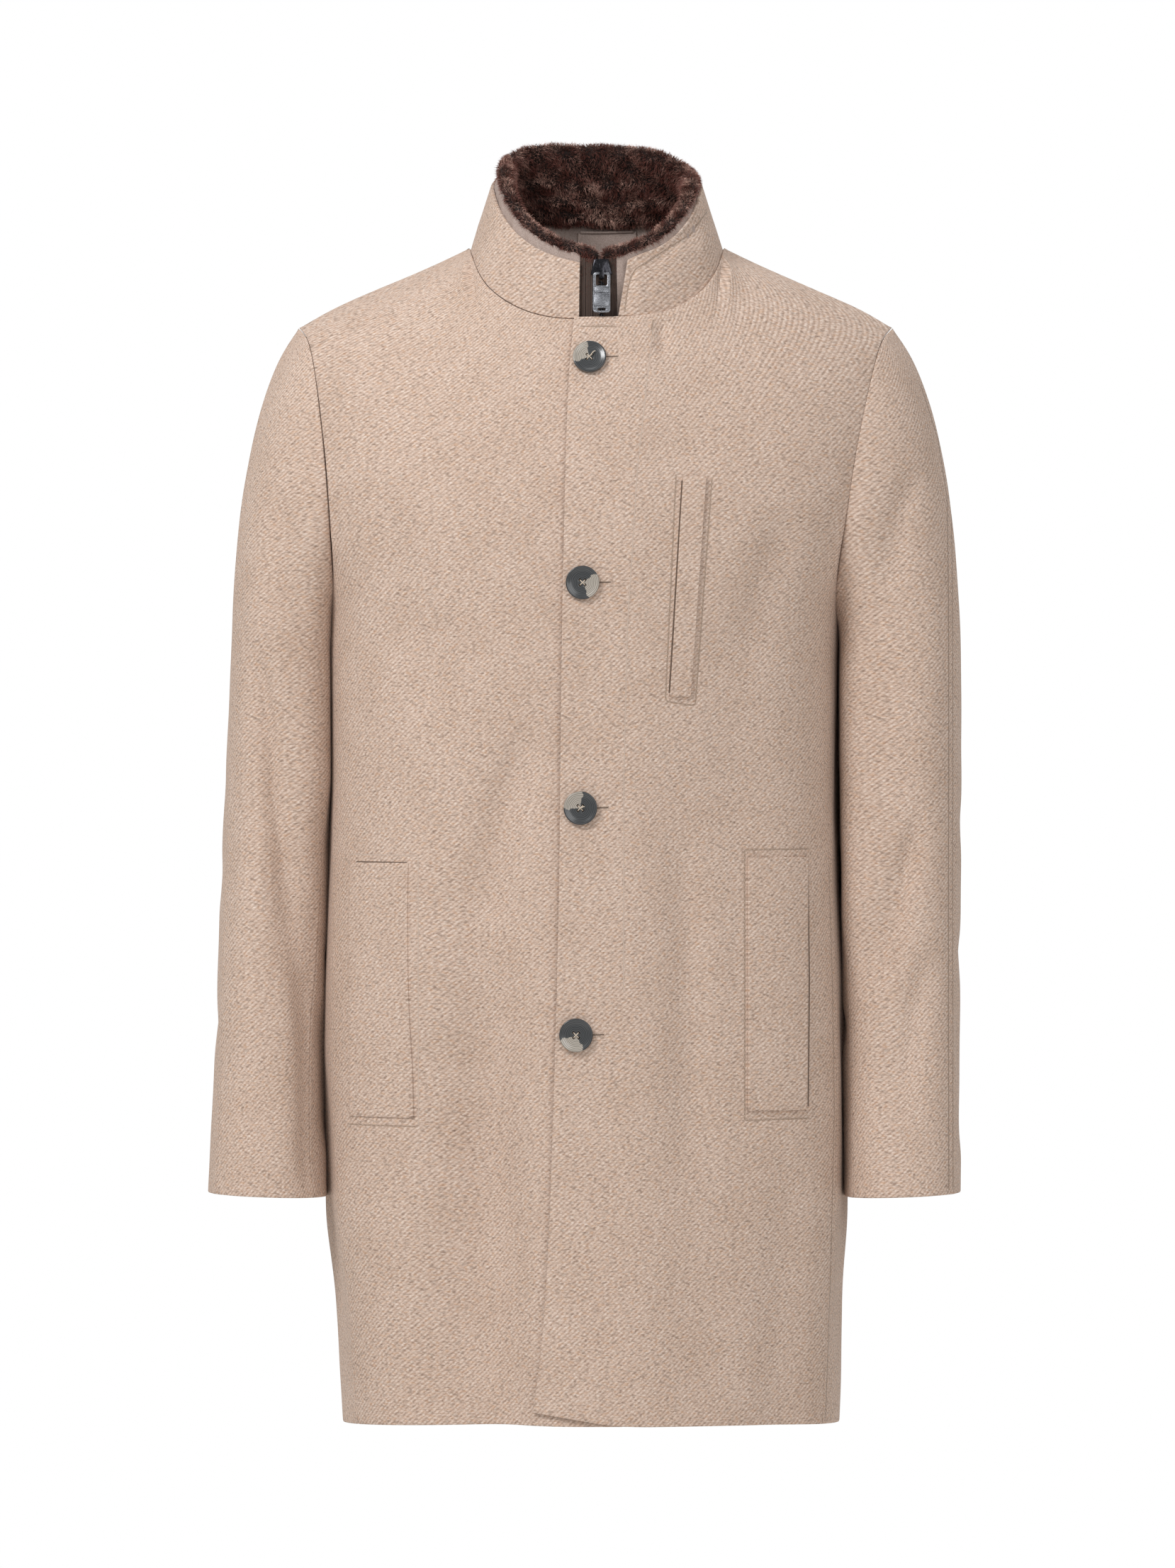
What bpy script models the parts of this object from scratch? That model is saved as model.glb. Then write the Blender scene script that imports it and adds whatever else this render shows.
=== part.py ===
"""A thigh-length winter coat, filled out as when it is worn, with no wearer.

The origin is between the wearer's side neck points. +X is the wearer's left, the
front faces -Y and +Z is up. Sizes are in metres and angles in degrees.
"""
import math
from collections import namedtuple

import bmesh
import bpy
from mathutils import Matrix, Vector

OBJECT_NAME = "winter_coat"

# Cloth walls and the clearances between the pieces
WOOL_WALL = 0.0025
INSERT_WALL = 0.0012
SEAM_INSET = 0.0002
COLLAR_INSET = 0.0004
OVERLAP_LIFT = 0.0042
WELT_LIFT = 0.0009
WELT_WALL = 0.0022

# The torso: underarm and hem heights, and how square its rings and shoulders are
UNDERARM = -0.272
HEM = -0.889
HEM_FRONT_RISE = 0.006
HEM_CORNER_RISE = 0.010
RING_SQUARENESS = 2.5
SHOULDER_SQUARENESS = 2.2
SHOULDER_SEAM_FORWARD = 0.006
NECK_RADIUS = 0.097
SHOULDER_RADIUS = 0.2258

# The overlap: where the hidden right edge lies, and where the left front is lifted
HIDDEN_EDGE = 0.022
LIFT_FULL = 0.030
LIFT_NONE = 0.062

# Where the collar's two front ends stand
COLLAR_END_LEFT = 0.0158
COLLAR_END_RIGHT = -0.0134
COLLAR_END_LEAN = 0.0080
COLLAR_END_BACK = 0.0012

# Mesh counts: along a panel, and around its neckline and shoulders
LOWER_ROWS = 14
ARMHOLE_ROWS = 10
NECK_COLUMNS = 7
BACK_NECK_COLUMNS = 10
SHOULDER_COLUMNS = 6
SLEEVE_HEAD_ROWS = 6
SLEEVE_ROWS = 12
FOREARM_SEAM = 9
COLLAR_ROWS = 4
ROW_DIP = 0.10

# The zip in the neck
ZIP_X = 0.0036
TAPE_HALF = 0.0110
TAPE_GAP = 0.0004
INSERT_SET_IN = 0.0006
BIB_SET_IN = 0.0060
NECKLINE_SET_IN = 0.0015
BIB_ROWS = 3
BIB_TURN = 0.08
INSERT_ROWS = 3
INSERT_BACK_TOP = 0.75
SLIDER_WIDTH = 0.0165
SLIDER_FOOT = 0.0110
SLIDER_HEIGHT = 0.0120
SLIDER_THICK = 0.0030
SLIDER_TOP_SHARE = 1.12
BRIDGE_WIDTH = 0.0036
BRIDGE_HEIGHT = 0.0110
BRIDGE_REACH = 0.0048
BRIDGE_WALL = 0.0013
BRIDGE_DROP = 0.0040
PULL_WIDTH = 0.0130
PULL_LENGTH = 0.0315
PULL_THICK = 0.0016
PULL_BAR = 0.0016
PULL_TILT = 14.0
PULL_HOLE_LENGTH = 0.0088
PULL_HOLE_WIDTH = 0.0086
PULL_SLOT_LENGTH = 0.0020
PULL_SLOT_WIDTH = 0.0062
PULL_SLOT_FOOT = 0.0016
PULL_BELOW_MIDDLE = 0.0015

# Buttons
BUTTON_RADIUS = 0.0125
BUTTON_HOLE_RADIUS = 0.0011
BUTTON_HOLE_SPREAD = 0.0025
BUTTON_STEPS = 20

# Fur, the strip of the insert that shows below it, and the patch
FUR_SET_IN = 0.0006
FUR_LOW_FRONT = 0.35
FUR_LOW_BACK = 0.42
FUR_END = 0.0020
PATCH_FROM = -0.0163
PATCH_TO = 0.0345
PATCH_LOW = 0.010
PATCH_HIGH = 0.034
PATCH_SET_IN = 0.0019
PATCH_WALL = 0.0008

Section = namedtuple("Section", "height centre half_width front_depth back_depth")
SECTIONS = (
    Section(-0.890, -0.0045, 0.1900, 0.140, 0.135),
    Section(-0.810, -0.0057, 0.1936, 0.140, 0.136),
    Section(-0.720, -0.0068, 0.1968, 0.141, 0.138),
    Section(-0.600, -0.0086, 0.1963, 0.142, 0.136),
    Section(-0.490, -0.0095, 0.1914, 0.141, 0.132),
    Section(-0.420, -0.0100, 0.1890, 0.140, 0.128),
    Section(-0.340, -0.0100, 0.1895, 0.142, 0.128),
    Section(-0.272, -0.0095, 0.1930, 0.146, 0.130),
    Section(-0.200, -0.0068, 0.2220, 0.147, 0.132),
    Section(-0.137, -0.0044, 0.2320, 0.143, 0.130),
    Section(-0.060, -0.0010, 0.2450, 0.135, 0.120),
    Section(0.000, 0.0000, 0.2500, 0.130, 0.112),
    Section(0.040, 0.0000, 0.2500, 0.128, 0.108),
)

Ridge = namedtuple("Ridge", "radius height")
RIDGE = (
    Ridge(0.0000, 0.0420),
    Ridge(0.0600, 0.0220),
    Ridge(0.0970, 0.0035),
    Ridge(0.1305, -0.0124),
    Ridge(0.1810, -0.0340),
    Ridge(0.2047, -0.0448),
    Ridge(0.2258, -0.0575),
    Ridge(0.2500, -0.0740),
)

# How far the back stands out at the flanks, behind the arms
Fullness = namedtuple("Fullness", "height left right")
BACK_FULLNESS = (
    Fullness(-0.890, 0.0000, 0.0000),
    Fullness(-0.770, 0.0030, 0.0030),
    Fullness(-0.700, 0.0100, 0.0095),
    Fullness(-0.620, 0.0175, 0.0130),
    Fullness(-0.400, 0.0190, 0.0125),
    Fullness(-0.345, 0.0160, 0.0110),
    Fullness(-0.315, 0.0080, 0.0058),
    Fullness(-0.292, 0.0010, 0.0008),
    Fullness(-0.285, 0.0000, 0.0000),
    Fullness(-0.280, 0.0000, 0.0000),
)

SideSeam = namedtuple("SideSeam", "height angle")
SIDE_SEAM = (
    SideSeam(-0.890, 66.0),
    SideSeam(-0.725, 68.0),
    SideSeam(-0.600, 71.0),
    SideSeam(-0.500, 72.5),
    SideSeam(-0.420, 77.0),
    SideSeam(-0.340, 84.0),
    SideSeam(-0.272, 90.0),
)

# The turn runs from -1 at the hem to 0 at the underarm and 1 on the shoulder
Armhole = namedtuple("Armhole", "turn angle")
ARMHOLE = (
    Armhole(0.000, 90.0),
    Armhole(0.006, 77.0),
    Armhole(0.065, 67.0),
    Armhole(0.135, 60.5),
    Armhole(0.200, 57.3),
    Armhole(0.410, 57.8),
    Armhole(0.646, 58.7),
    Armhole(0.820, 61.0),
    Armhole(1.000, 64.5),
)

Neckline = namedtuple("Neckline", "reach front_height back_height")
NECKLINE = (
    Neckline(0.0000, -0.0565, -0.0140),
    Neckline(0.0160, -0.0565, -0.0138),
    Neckline(0.0390, -0.0545, -0.0130),
    Neckline(0.0556, -0.0490, -0.0105),
    Neckline(0.0737, -0.0385, -0.0070),
    Neckline(0.0900, -0.0200, -0.0010),
    Neckline(0.0970, 0.0035, 0.0035),
)

FrontEdge = namedtuple("FrontEdge", "height across")
FRONT_EDGE = (
    FrontEdge(-0.890, -0.0500),
    FrontEdge(-0.842, -0.0430),
    FrontEdge(-0.799, -0.0400),
    FrontEdge(-0.745, -0.0360),
    FrontEdge(-0.507, -0.0286),
    FrontEdge(-0.296, -0.0260),
    FrontEdge(-0.110, -0.0213),
    FrontEdge(-0.053, -0.0165),
)

# A fold is a soft trough or ridge along a straight stretch of the front
Fold = namedtuple("Fold", "start_x start_z end_x end_z half_width rise")
FOLDS = (
    Fold(-0.066, -0.405, -0.098, -0.455, 0.026, -0.0050),
    Fold(-0.098, -0.480, -0.093, -0.690, 0.026, -0.0055),
    Fold(-0.093, -0.715, -0.122, -0.850, 0.028, -0.0055),
    Fold(0.061, -0.430, 0.080, -0.860, 0.028, -0.0045),
    Fold(-0.047, -0.670, -0.050, -0.880, 0.030, 0.0035),
    Fold(-0.112, -0.285, -0.125, -0.350, 0.022, -0.0030),
)

# Where the sleeves lie across, fore and aft, and where their outer seam runs
Sleeve = namedtuple("Sleeve", "height left_outer left_inner right_outer right_inner"
                              " centre_y half_depth seam_angle")
SLEEVES = (
    Sleeve(-0.715, 0.2766, 0.1922, 0.2952, 0.2062, -0.030, 0.058, 38.0),
    Sleeve(-0.600, 0.2772, 0.1908, 0.2907, 0.2068, -0.014, 0.062, 38.0),
    Sleeve(-0.500, 0.2784, 0.1898, 0.2880, 0.2042, -0.002, 0.066, 36.0),
    Sleeve(-0.420, 0.2789, 0.1892, 0.2845, 0.2035, 0.004, 0.070, 32.0),
    Sleeve(-0.300, 0.2790, 0.1890, 0.2795, 0.2056, 0.002, 0.074, 25.0),
)
SLEEVE_SQUARENESS = 2.3
SLEEVE_TOP = -0.300
CUFF_OUTER = -0.7130
CUFF_INNER_DROP = 0.0035
FOREARM_ANGLE = 145.0

# The stand collar from a front end to the centre back: its rise and inward lean
Stand = namedtuple("Stand", "share rise lean")
STAND = (
    Stand(0.00, 0.0400, 0.0030),
    Stand(0.20, 0.0500, 0.0080),
    Stand(0.36, 0.0545, 0.0140),
    Stand(0.50, 0.0470, 0.0160),
    Stand(0.64, 0.0622, 0.0142),
    Stand(0.70, 0.0714, 0.0130),
    Stand(0.76, 0.0802, 0.0118),
    Stand(0.87, 0.0893, 0.0097),
    Stand(1.00, 0.0915, 0.0080),
)

# How far the insert stands above the wool collar, from a front end to the centre back
Strip = namedtuple("Strip", "share left right")
STRIPS = (
    Strip(0.00, 0.0050, 0.0065),
    Strip(0.30, 0.0048, 0.0095),
    Strip(0.50, 0.0020, 0.0120),
    Strip(0.70, 0.0012, 0.0085),
    Strip(0.90, 0.0012, 0.0020),
    Strip(1.00, 0.0012, 0.0012),
)

# The fur's section at a neck column: inward and up from the strip's top edge, where
# a drop is a share of the way down to the fur's lower edge
FurPoint = namedtuple("FurPoint", "inward upward drop")
FUR_SECTION = (
    FurPoint(0.0000, 0.0000, 1.0),
    FurPoint(0.0000, 0.0000, 0.5),
    FurPoint(0.0000, 0.0000, 0.0),
    FurPoint(-0.0026, 0.0014, 0.0),
    FurPoint(-0.0032, 0.0048, 0.0),
    FurPoint(0.0004, 0.0080, 0.0),
    FurPoint(0.0055, 0.0076, 0.0),
    FurPoint(0.0092, 0.0030, 0.0),
    FurPoint(0.0095, -0.0060, 0.0),
    FurPoint(0.0075, -0.0020, 0.5),
    FurPoint(0.0060, 0.0000, 1.0),
)

# Pocket welts: corners given by their ends' heights and the edges across
Welt = namedtuple("Welt", "name top bottom top_in top_out bottom_in bottom_out")
WELTS = (
    Welt("chest_welt", -0.1760, -0.3395, 0.0643, 0.0816, 0.0543, 0.0700),
    Welt("hand_welt_left", -0.4595, -0.6490, 0.1165, 0.1572, 0.1165, 0.1572),
    Welt("hand_welt_right", -0.4635, -0.6540, -0.1405, -0.1830, -0.1405, -0.1830),
)

# A button's clearance is from the smooth form, which the front's flat faces cut inside
Button = namedtuple("Button", "name across height clearance")
BUTTONS = (
    Button("button_1", -0.0054, -0.0876, -0.0003),
    Button("button_2", -0.0107, -0.2548, 0.0002),
    Button("button_3", -0.0123, -0.4224, 0.0004),
    Button("button_4", -0.0155, -0.5912, 0.0004),
)

# Base colour, roughness and metallic value of each finish
Finish = namedtuple("Finish", "red green blue roughness metallic")
FINISHES = {
    "wool": Finish(0.50, 0.39, 0.30, 0.95, 0.0),
    "fur": Finish(0.05, 0.02, 0.015, 0.90, 0.0),
    "insert_cloth": Finish(0.35, 0.27, 0.21, 0.80, 0.0),
    "tape": Finish(0.04, 0.02, 0.02, 0.85, 0.0),
    "gunmetal": Finish(0.03, 0.03, 0.035, 0.35, 1.0),
    "old_silver": Finish(0.45, 0.42, 0.38, 0.40, 1.0),
    "horn": Finish(0.10, 0.09, 0.08, 0.35, 0.0),
    "patch": Finish(0.30, 0.24, 0.19, 0.75, 0.0),
}


def clear_scene():
    """Remove what the scene holds."""
    for item in list(bpy.data.objects):
        bpy.data.objects.remove(item, do_unlink=True)


def new_collection(name):
    """Add a collection to the scene."""
    collection = bpy.data.collections.new(name)
    bpy.context.scene.collection.children.link(collection)
    return collection


def finish(name):
    """Return the material for one of the finishes."""
    material = bpy.data.materials.get(name)
    if material is None:
        row = FINISHES[name]
        material = bpy.data.materials.new(name)
        material.use_nodes = True
        shader = material.node_tree.nodes["Principled BSDF"]
        shader.inputs["Base Color"].default_value = (row.red, row.green, row.blue, 1.0)
        shader.inputs["Roughness"].default_value = row.roughness
        shader.inputs["Metallic"].default_value = row.metallic
    return material


def smooth_column(rows, key, column):
    """Read a column at a key of the first column, on a smooth curve through the rows."""
    keys = [row[0] for row in rows]
    values = [getattr(row, column) for row in rows]
    last = len(rows) - 1
    if key <= keys[0]:
        return values[0]
    if key >= keys[last]:
        return values[last]
    index = max(place for place in range(last) if keys[place] <= key)

    def slope(place):
        low = max(place - 1, 0)
        high = min(place + 1, last)
        return (values[high] - values[low]) / (keys[high] - keys[low])

    span = keys[index + 1] - keys[index]
    share = (key - keys[index]) / span
    rest = 1.0 - share
    start = values[index] * rest * rest * (1.0 + 2.0 * share)
    end = values[index + 1] * share * share * (3.0 - 2.0 * share)
    bend = share * rest * span * (rest * slope(index) - share * slope(index + 1))
    return start + end + bend


def smooth_step(low, high, value):
    """Run from 0 at low to 1 at high, with soft ends."""
    share = min(max((value - low) / (high - low), 0.0), 1.0)
    return share * share * (3.0 - 2.0 * share)


def signed_power(value, power):
    """Raise a value's size to a power and keep its sign."""
    return math.copysign(abs(value) ** power, value)


def section_value(height, column):
    """Read the torso's section table at a height."""
    return smooth_column(SECTIONS, height, column)


def ridge_height(radius):
    """Height of the shoulder ridge at a distance from the centre line."""
    return smooth_column(RIDGE, radius, "height")


def angle_at(across, height):
    """Angle round the torso from the front centre, for a place across the front."""
    reach = across - section_value(height, "centre")
    share = min(abs(reach) / section_value(height, "half_width"), 1.0)
    sine = share ** (RING_SQUARENESS / 2.0)
    return math.copysign(math.degrees(math.asin(sine)), reach)


def turn_at(across, height):
    """Turn from the underarm to the shoulder ridge, for a place on the torso."""
    if height <= UNDERARM:
        return (height - UNDERARM) / (UNDERARM - HEM)
    reach = abs(across - section_value(height, "centre"))
    share = (height - UNDERARM) / (ridge_height(reach) - UNDERARM)
    sine = min(share, 1.0) ** (SHOULDER_SQUARENESS / 2.0)
    return math.asin(sine) / (math.pi / 2.0)


def back_fullness(angle, height):
    """How far the back stands out to its side at an angle and height."""
    turned = (angle + 180.0) % 360.0 - 180.0
    bulge = smooth_step(90.0, 107.0, abs(turned))
    bulge *= 1.0 - smooth_step(112.0, 152.0, abs(turned))
    side = "left" if turned > 0.0 else "right"
    return math.copysign(bulge * smooth_column(BACK_FULLNESS, height, side), turned)


def torso_point(angle, turn):
    """Place on the torso's plain form, without folds."""
    across = signed_power(math.sin(math.radians(angle)), 2.0 / RING_SQUARENESS)
    forward = signed_power(math.cos(math.radians(angle)), 2.0 / RING_SQUARENESS)
    depth = "front_depth" if forward > 0.0 else "back_depth"
    if turn <= 0.0:
        height = UNDERARM + turn * (UNDERARM - HEM)
        roll = 1.0
    else:
        rise = math.sin(turn * math.pi / 2.0) ** (2.0 / SHOULDER_SQUARENESS)
        roll = max(math.cos(turn * math.pi / 2.0), 0.0) ** (2.0 / SHOULDER_SQUARENESS)
        reach = NECK_RADIUS
        for _ in range(8):
            height = UNDERARM + (ridge_height(reach) - UNDERARM) * rise
            reach = abs(across) * section_value(height, "half_width")
    x = section_value(height, "centre") + across * section_value(height, "half_width")
    y = -forward * section_value(height, depth) * roll
    y -= SHOULDER_SEAM_FORWARD * (1.0 - roll)
    if turn < 0.0:
        x += back_fullness(angle, height)
    return Vector((x, y, height))


def torso_normal(angle, turn):
    """Direction out of the torso's plain form."""
    step = 0.006
    high = min(turn + step, 1.0)
    along = torso_point(angle, high) - torso_point(angle, high - 2.0 * step)
    around = torso_point(angle + 0.6, turn) - torso_point(angle - 0.6, turn)
    normal = around.cross(along).normalized()
    point = torso_point(angle, turn)
    inside = Vector((section_value(point.z, "centre"), 0.0, min(point.z, -0.22)))
    if normal.dot(point - inside) < 0.0:
        normal.negate()
    return normal


def fold_rise(x, z):
    """How far the folds move the front out at a place."""
    rise = 0.0
    for fold in FOLDS:
        start = Vector((fold.start_x, fold.start_z))
        run = Vector((fold.end_x, fold.end_z)) - start
        place = Vector((x, z)) - start
        share = min(max(place.dot(run) / run.length_squared, 0.0), 1.0)
        distance = (place - run * share).length
        rise += fold.rise * math.exp(-(distance / fold.half_width) ** 2)
    return rise


def hem_rise(angle, turn, corner):
    """How far the hem is lifted near its front, and at the lapped corner."""
    share = smooth_step(0.86, 1.0, -turn)
    front = max(math.cos(math.radians(angle)), 0.0)
    return share * (HEM_FRONT_RISE * front + HEM_CORNER_RISE * corner)


def overlap_lift(x):
    """How far the left front stands out over the right one."""
    return OVERLAP_LIFT * (1.0 - smooth_step(LIFT_FULL, LIFT_NONE, x))


def cloth_place(angle, turn, lapped=False, lift=0.0):
    """Place and normal on the coat's outer face, with folds and the front overlap."""
    point = torso_point(angle, turn)
    normal = torso_normal(angle, turn)
    corner = 0.0
    if abs(angle) < 90.0:
        lift += fold_rise(point.x, point.z) * (1.0 - smooth_step(60.0, 85.0, abs(angle)))
        if lapped:
            lift += overlap_lift(point.x)
            edge = smooth_column(FRONT_EDGE, point.z, "across")
            corner = 1.0 - smooth_step(edge, edge + 0.07, point.x)
    point = point + normal * lift
    point.z += hem_rise(angle, turn, corner)
    return point, normal


def armhole_lengths():
    """Length along the armhole's front half at each row of its table."""
    lengths = [0.0]
    places = [torso_point(row.angle, row.turn) for row in ARMHOLE]
    for first, second in zip(places, places[1:]):
        lengths.append(lengths[-1] + (second - first).length)
    return lengths


ArmholeRun = namedtuple("ArmholeRun", "length turn angle")


def armhole_place(share):
    """Angle and turn at a share of the way from the underarm to the shoulder."""
    lengths = armhole_lengths()
    rows = [ArmholeRun(length, row.turn, row.angle) for length, row in zip(lengths, ARMHOLE)]
    key = share * lengths[-1]
    return smooth_column(rows, key, "angle"), smooth_column(rows, key, "turn")


def side_place(row):
    """Angle and turn on the side seam and front armhole at a row of a panel."""
    if row <= LOWER_ROWS:
        turn = row / LOWER_ROWS - 1.0
        height = UNDERARM + turn * (UNDERARM - HEM)
        return smooth_column(SIDE_SEAM, height, "angle"), turn
    return armhole_place((row - LOWER_ROWS) / ARMHOLE_ROWS)


def front_edge_x(side, height):
    """Where a front's free edge runs: the left one laps past the centre."""
    if side > 0:
        return smooth_column(FRONT_EDGE, height, "across")
    return HIDDEN_EDGE


def neckline_place(across, column):
    """Angle and turn on the neckline at a place across."""
    height = smooth_column(NECKLINE, abs(across), column)
    return angle_at(across, height), turn_at(across, height)


def shoulder_place(side, share):
    """Angle and turn on the shoulder seam, from the neck to the armhole."""
    radius = NECK_RADIUS + (SHOULDER_RADIUS - NECK_RADIUS) * share
    height = ridge_height(radius)
    across = side * radius + section_value(height, "centre")
    return angle_at(across, height), 1.0


def row_dip(row, spread):
    """How far a row dips between a panel's sides, most at the underarm's row."""
    if row <= LOWER_ROWS:
        share = row / LOWER_ROWS
    else:
        share = 1.0 - (row - LOWER_ROWS) / ARMHOLE_ROWS
    return ROW_DIP * share * math.sqrt(max(1.0 - spread * spread, 0.0))


def top_pull(row):
    """How far a row follows the shape of its panel's top edge."""
    return max((row - LOWER_ROWS) / ARMHOLE_ROWS, 0.0) ** 2.6


def mix(first, second, share):
    """Run from the first value to the second."""
    return first * (1.0 - share) + second * share


def front_top(side, column):
    """Angle and turn on a front's top: its neckline, then its shoulder seam."""
    edge = front_edge_x(side, NECKLINE[0].front_height)
    end = COLLAR_END_LEFT if side > 0 else COLLAR_END_RIGHT
    if column == 0:
        return neckline_place(edge, "front_height")
    if column <= NECK_COLUMNS + 1:
        share = (column - 1) / NECK_COLUMNS
        sweep = math.sin(share * math.pi / 2.0)
        return neckline_place(end + (side * NECK_RADIUS - end) * sweep, "front_height")
    return shoulder_place(side, (column - 1 - NECK_COLUMNS) / SHOULDER_COLUMNS)


def front_edge_place(side, row):
    """Angle and turn on a front's free edge, at a row."""
    if row <= LOWER_ROWS:
        turn = row / LOWER_ROWS - 1.0 - row_dip(row, 0.0)
    else:
        share = (row - LOWER_ROWS) / ARMHOLE_ROWS
        turn = front_top(side, 0)[1] * share - row_dip(row, 0.0)
    if turn <= 0.0:
        height = UNDERARM + turn * (UNDERARM - HEM)
    else:
        rise = math.sin(turn * math.pi / 2.0) ** (2.0 / SHOULDER_SQUARENESS)
        height = UNDERARM + (ridge_height(0.01) - UNDERARM) * rise
    return angle_at(front_edge_x(side, height), height), turn


def front_grid(side):
    """Places and normals of a front panel, by column and row."""
    columns = 1 + NECK_COLUMNS + SHOULDER_COLUMNS
    rows = LOWER_ROWS + ARMHOLE_ROWS
    high_edge = front_edge_place(side, rows)
    high_angle, high_turn = side_place(rows)
    grid = []
    for column in range(columns + 1):
        share = column / columns
        top_angle, top_turn = front_top(side, column)
        top_angle -= mix(high_edge[0], side * high_angle, share)
        top_turn -= mix(high_edge[1], high_turn, share)
        line = []
        for row in range(rows + 1):
            edge_angle, edge_turn = front_edge_place(side, row)
            side_angle, side_turn = side_place(row)
            angle = mix(edge_angle, side * side_angle, share) + top_angle * top_pull(row)
            turn = mix(edge_turn, side_turn, share) + top_turn * top_pull(row)
            turn -= row_dip(row, share) - row_dip(row, 0.0) * (1.0 - share)
            line.append(cloth_place(angle, min(turn, 1.0), lapped=side > 0))
        grid.append(line)
    return grid


def back_top(column):
    """Angle from the back centre and turn on the back's top edge."""
    columns = 2 * SHOULDER_COLUMNS + BACK_NECK_COLUMNS
    if column < SHOULDER_COLUMNS:
        return shoulder_place(-1, 1.0 - column / SHOULDER_COLUMNS)
    if column > columns - SHOULDER_COLUMNS:
        return shoulder_place(1, 1.0 - (columns - column) / SHOULDER_COLUMNS)
    share = (column - SHOULDER_COLUMNS) / BACK_NECK_COLUMNS
    return neckline_place(-NECK_RADIUS * math.cos(share * math.pi), "back_height")


def back_side(row):
    """Angle from the back centre and turn on the back's side, at a row."""
    angle, turn = side_place(row)
    if row <= LOWER_ROWS:
        return 180.0 - angle, turn
    return angle, turn


def back_grid():
    """Places and normals of both back panels in one grid, by column and row."""
    columns = 2 * SHOULDER_COLUMNS + BACK_NECK_COLUMNS
    rows = LOWER_ROWS + ARMHOLE_ROWS
    high_angle, high_turn = back_side(rows)
    grid = []
    for column in range(columns + 1):
        spread = 2.0 * column / columns - 1.0
        top_angle, top_turn = back_top(column)
        top_angle -= high_angle * spread
        top_turn -= high_turn
        line = []
        for row in range(rows + 1):
            side_angle, side_turn = back_side(row)
            angle = side_angle * spread + top_angle * top_pull(row)
            turn = side_turn - row_dip(row, spread) + top_turn * top_pull(row)
            line.append(cloth_place(180.0 - angle, min(turn, 1.0)))
        grid.append(line)
    return grid


def armhole_ring(side):
    """Places and normals round an armhole: shoulder, front, underarm, back."""
    ring = []
    for index in range(2 * ARMHOLE_ROWS):
        if index <= ARMHOLE_ROWS:
            angle, turn = armhole_place(1.0 - index / ARMHOLE_ROWS)
            angle = side * angle
        else:
            angle, turn = armhole_place(index / ARMHOLE_ROWS - 1.0)
            angle = side * (180.0 - angle)
        ring.append(cloth_place(angle, min(turn, 1.0), lapped=side > 0))
    return ring


def sleeve_ring(side, height):
    """Places round a sleeve at a height, started at its outer seam."""
    def read(column):
        return smooth_column(SLEEVES, height, column)

    word = "left" if side > 0 else "right"
    outer = read(word + "_outer")
    inner = read(word + "_inner")
    seam = read("seam_angle")
    around = 2 * ARMHOLE_ROWS
    places = []
    for index in range(around):
        if index <= FOREARM_SEAM:
            angle = seam + (FOREARM_ANGLE - seam) * index / FOREARM_SEAM
        else:
            share = (index - FOREARM_SEAM) / (around - FOREARM_SEAM)
            angle = FOREARM_ANGLE + (360.0 + seam - FOREARM_ANGLE) * share
        out = signed_power(math.cos(math.radians(angle)), 2.0 / SLEEVE_SQUARENESS)
        front = signed_power(math.sin(math.radians(angle)), 2.0 / SLEEVE_SQUARENESS)
        x = side * ((outer + inner) / 2.0 + (outer - inner) / 2.0 * out)
        y = read("centre_y") - read("half_depth") * front
        places.append(Vector((x, y, height + CUFF_INNER_DROP * (out - 1.0) / 2.0)))
    return places


def sleeve_head(start, end, out, share):
    """Place on the sleeve's head, on a curve from the armhole to the first ring."""
    length = (end - start).length
    leave = out * length * 0.55
    arrive = Vector((0.0, 0.0, -1.2 * length))
    rest = 1.0 - share
    place = start * (rest * rest * (1.0 + 2.0 * share))
    place += end * (share * share * (3.0 - 2.0 * share))
    place += (leave * rest - arrive * share) * (share * rest)
    return place


def sleeve_rows(side, ring):
    """Places of a whole sleeve, by row from the armhole down and then round it."""
    first = sleeve_ring(side, SLEEVE_TOP)
    rows = []
    for step in range(SLEEVE_HEAD_ROWS):
        share = step / SLEEVE_HEAD_ROWS
        line = []
        for index, (start, _) in enumerate(ring):
            round_angle = 2.0 * math.pi * index / len(ring)
            forward = math.sin(round_angle)
            out = Vector((side * (0.62 + 0.13 * math.cos(round_angle)), -0.32 * forward, -0.70))
            line.append(sleeve_head(start, first[index], out.normalized(), share))
        rows.append(line)
    for step in range(SLEEVE_ROWS + 1):
        height = SLEEVE_TOP + (CUFF_OUTER - SLEEVE_TOP) * step / SLEEVE_ROWS
        rows.append(sleeve_ring(side, height))
    return rows


def grid_normal(rows, row, index, wrap, inside):
    """Direction out of a grid of places at one of them, away from an inside place."""
    count = len(rows[row])
    before = index - 1
    after = index + 1
    if wrap:
        before %= count
        after %= count
    else:
        before = max(before, 0)
        after = min(after, count - 1)
    upper = max(row - 1, 0)
    lower = min(row + 1, len(rows) - 1)
    around = rows[row][after] - rows[row][before]
    along = rows[lower][index] - rows[upper][index]
    normal = around.cross(along).normalized()
    if normal.dot(rows[row][index] - inside) < 0.0:
        normal.negate()
    return normal


def mitre(first, second):
    """Shared wall direction where two walls meet, long enough to keep both full."""
    middle = (first + second).normalized()
    return middle / max(middle.dot(first), 0.45)


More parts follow.
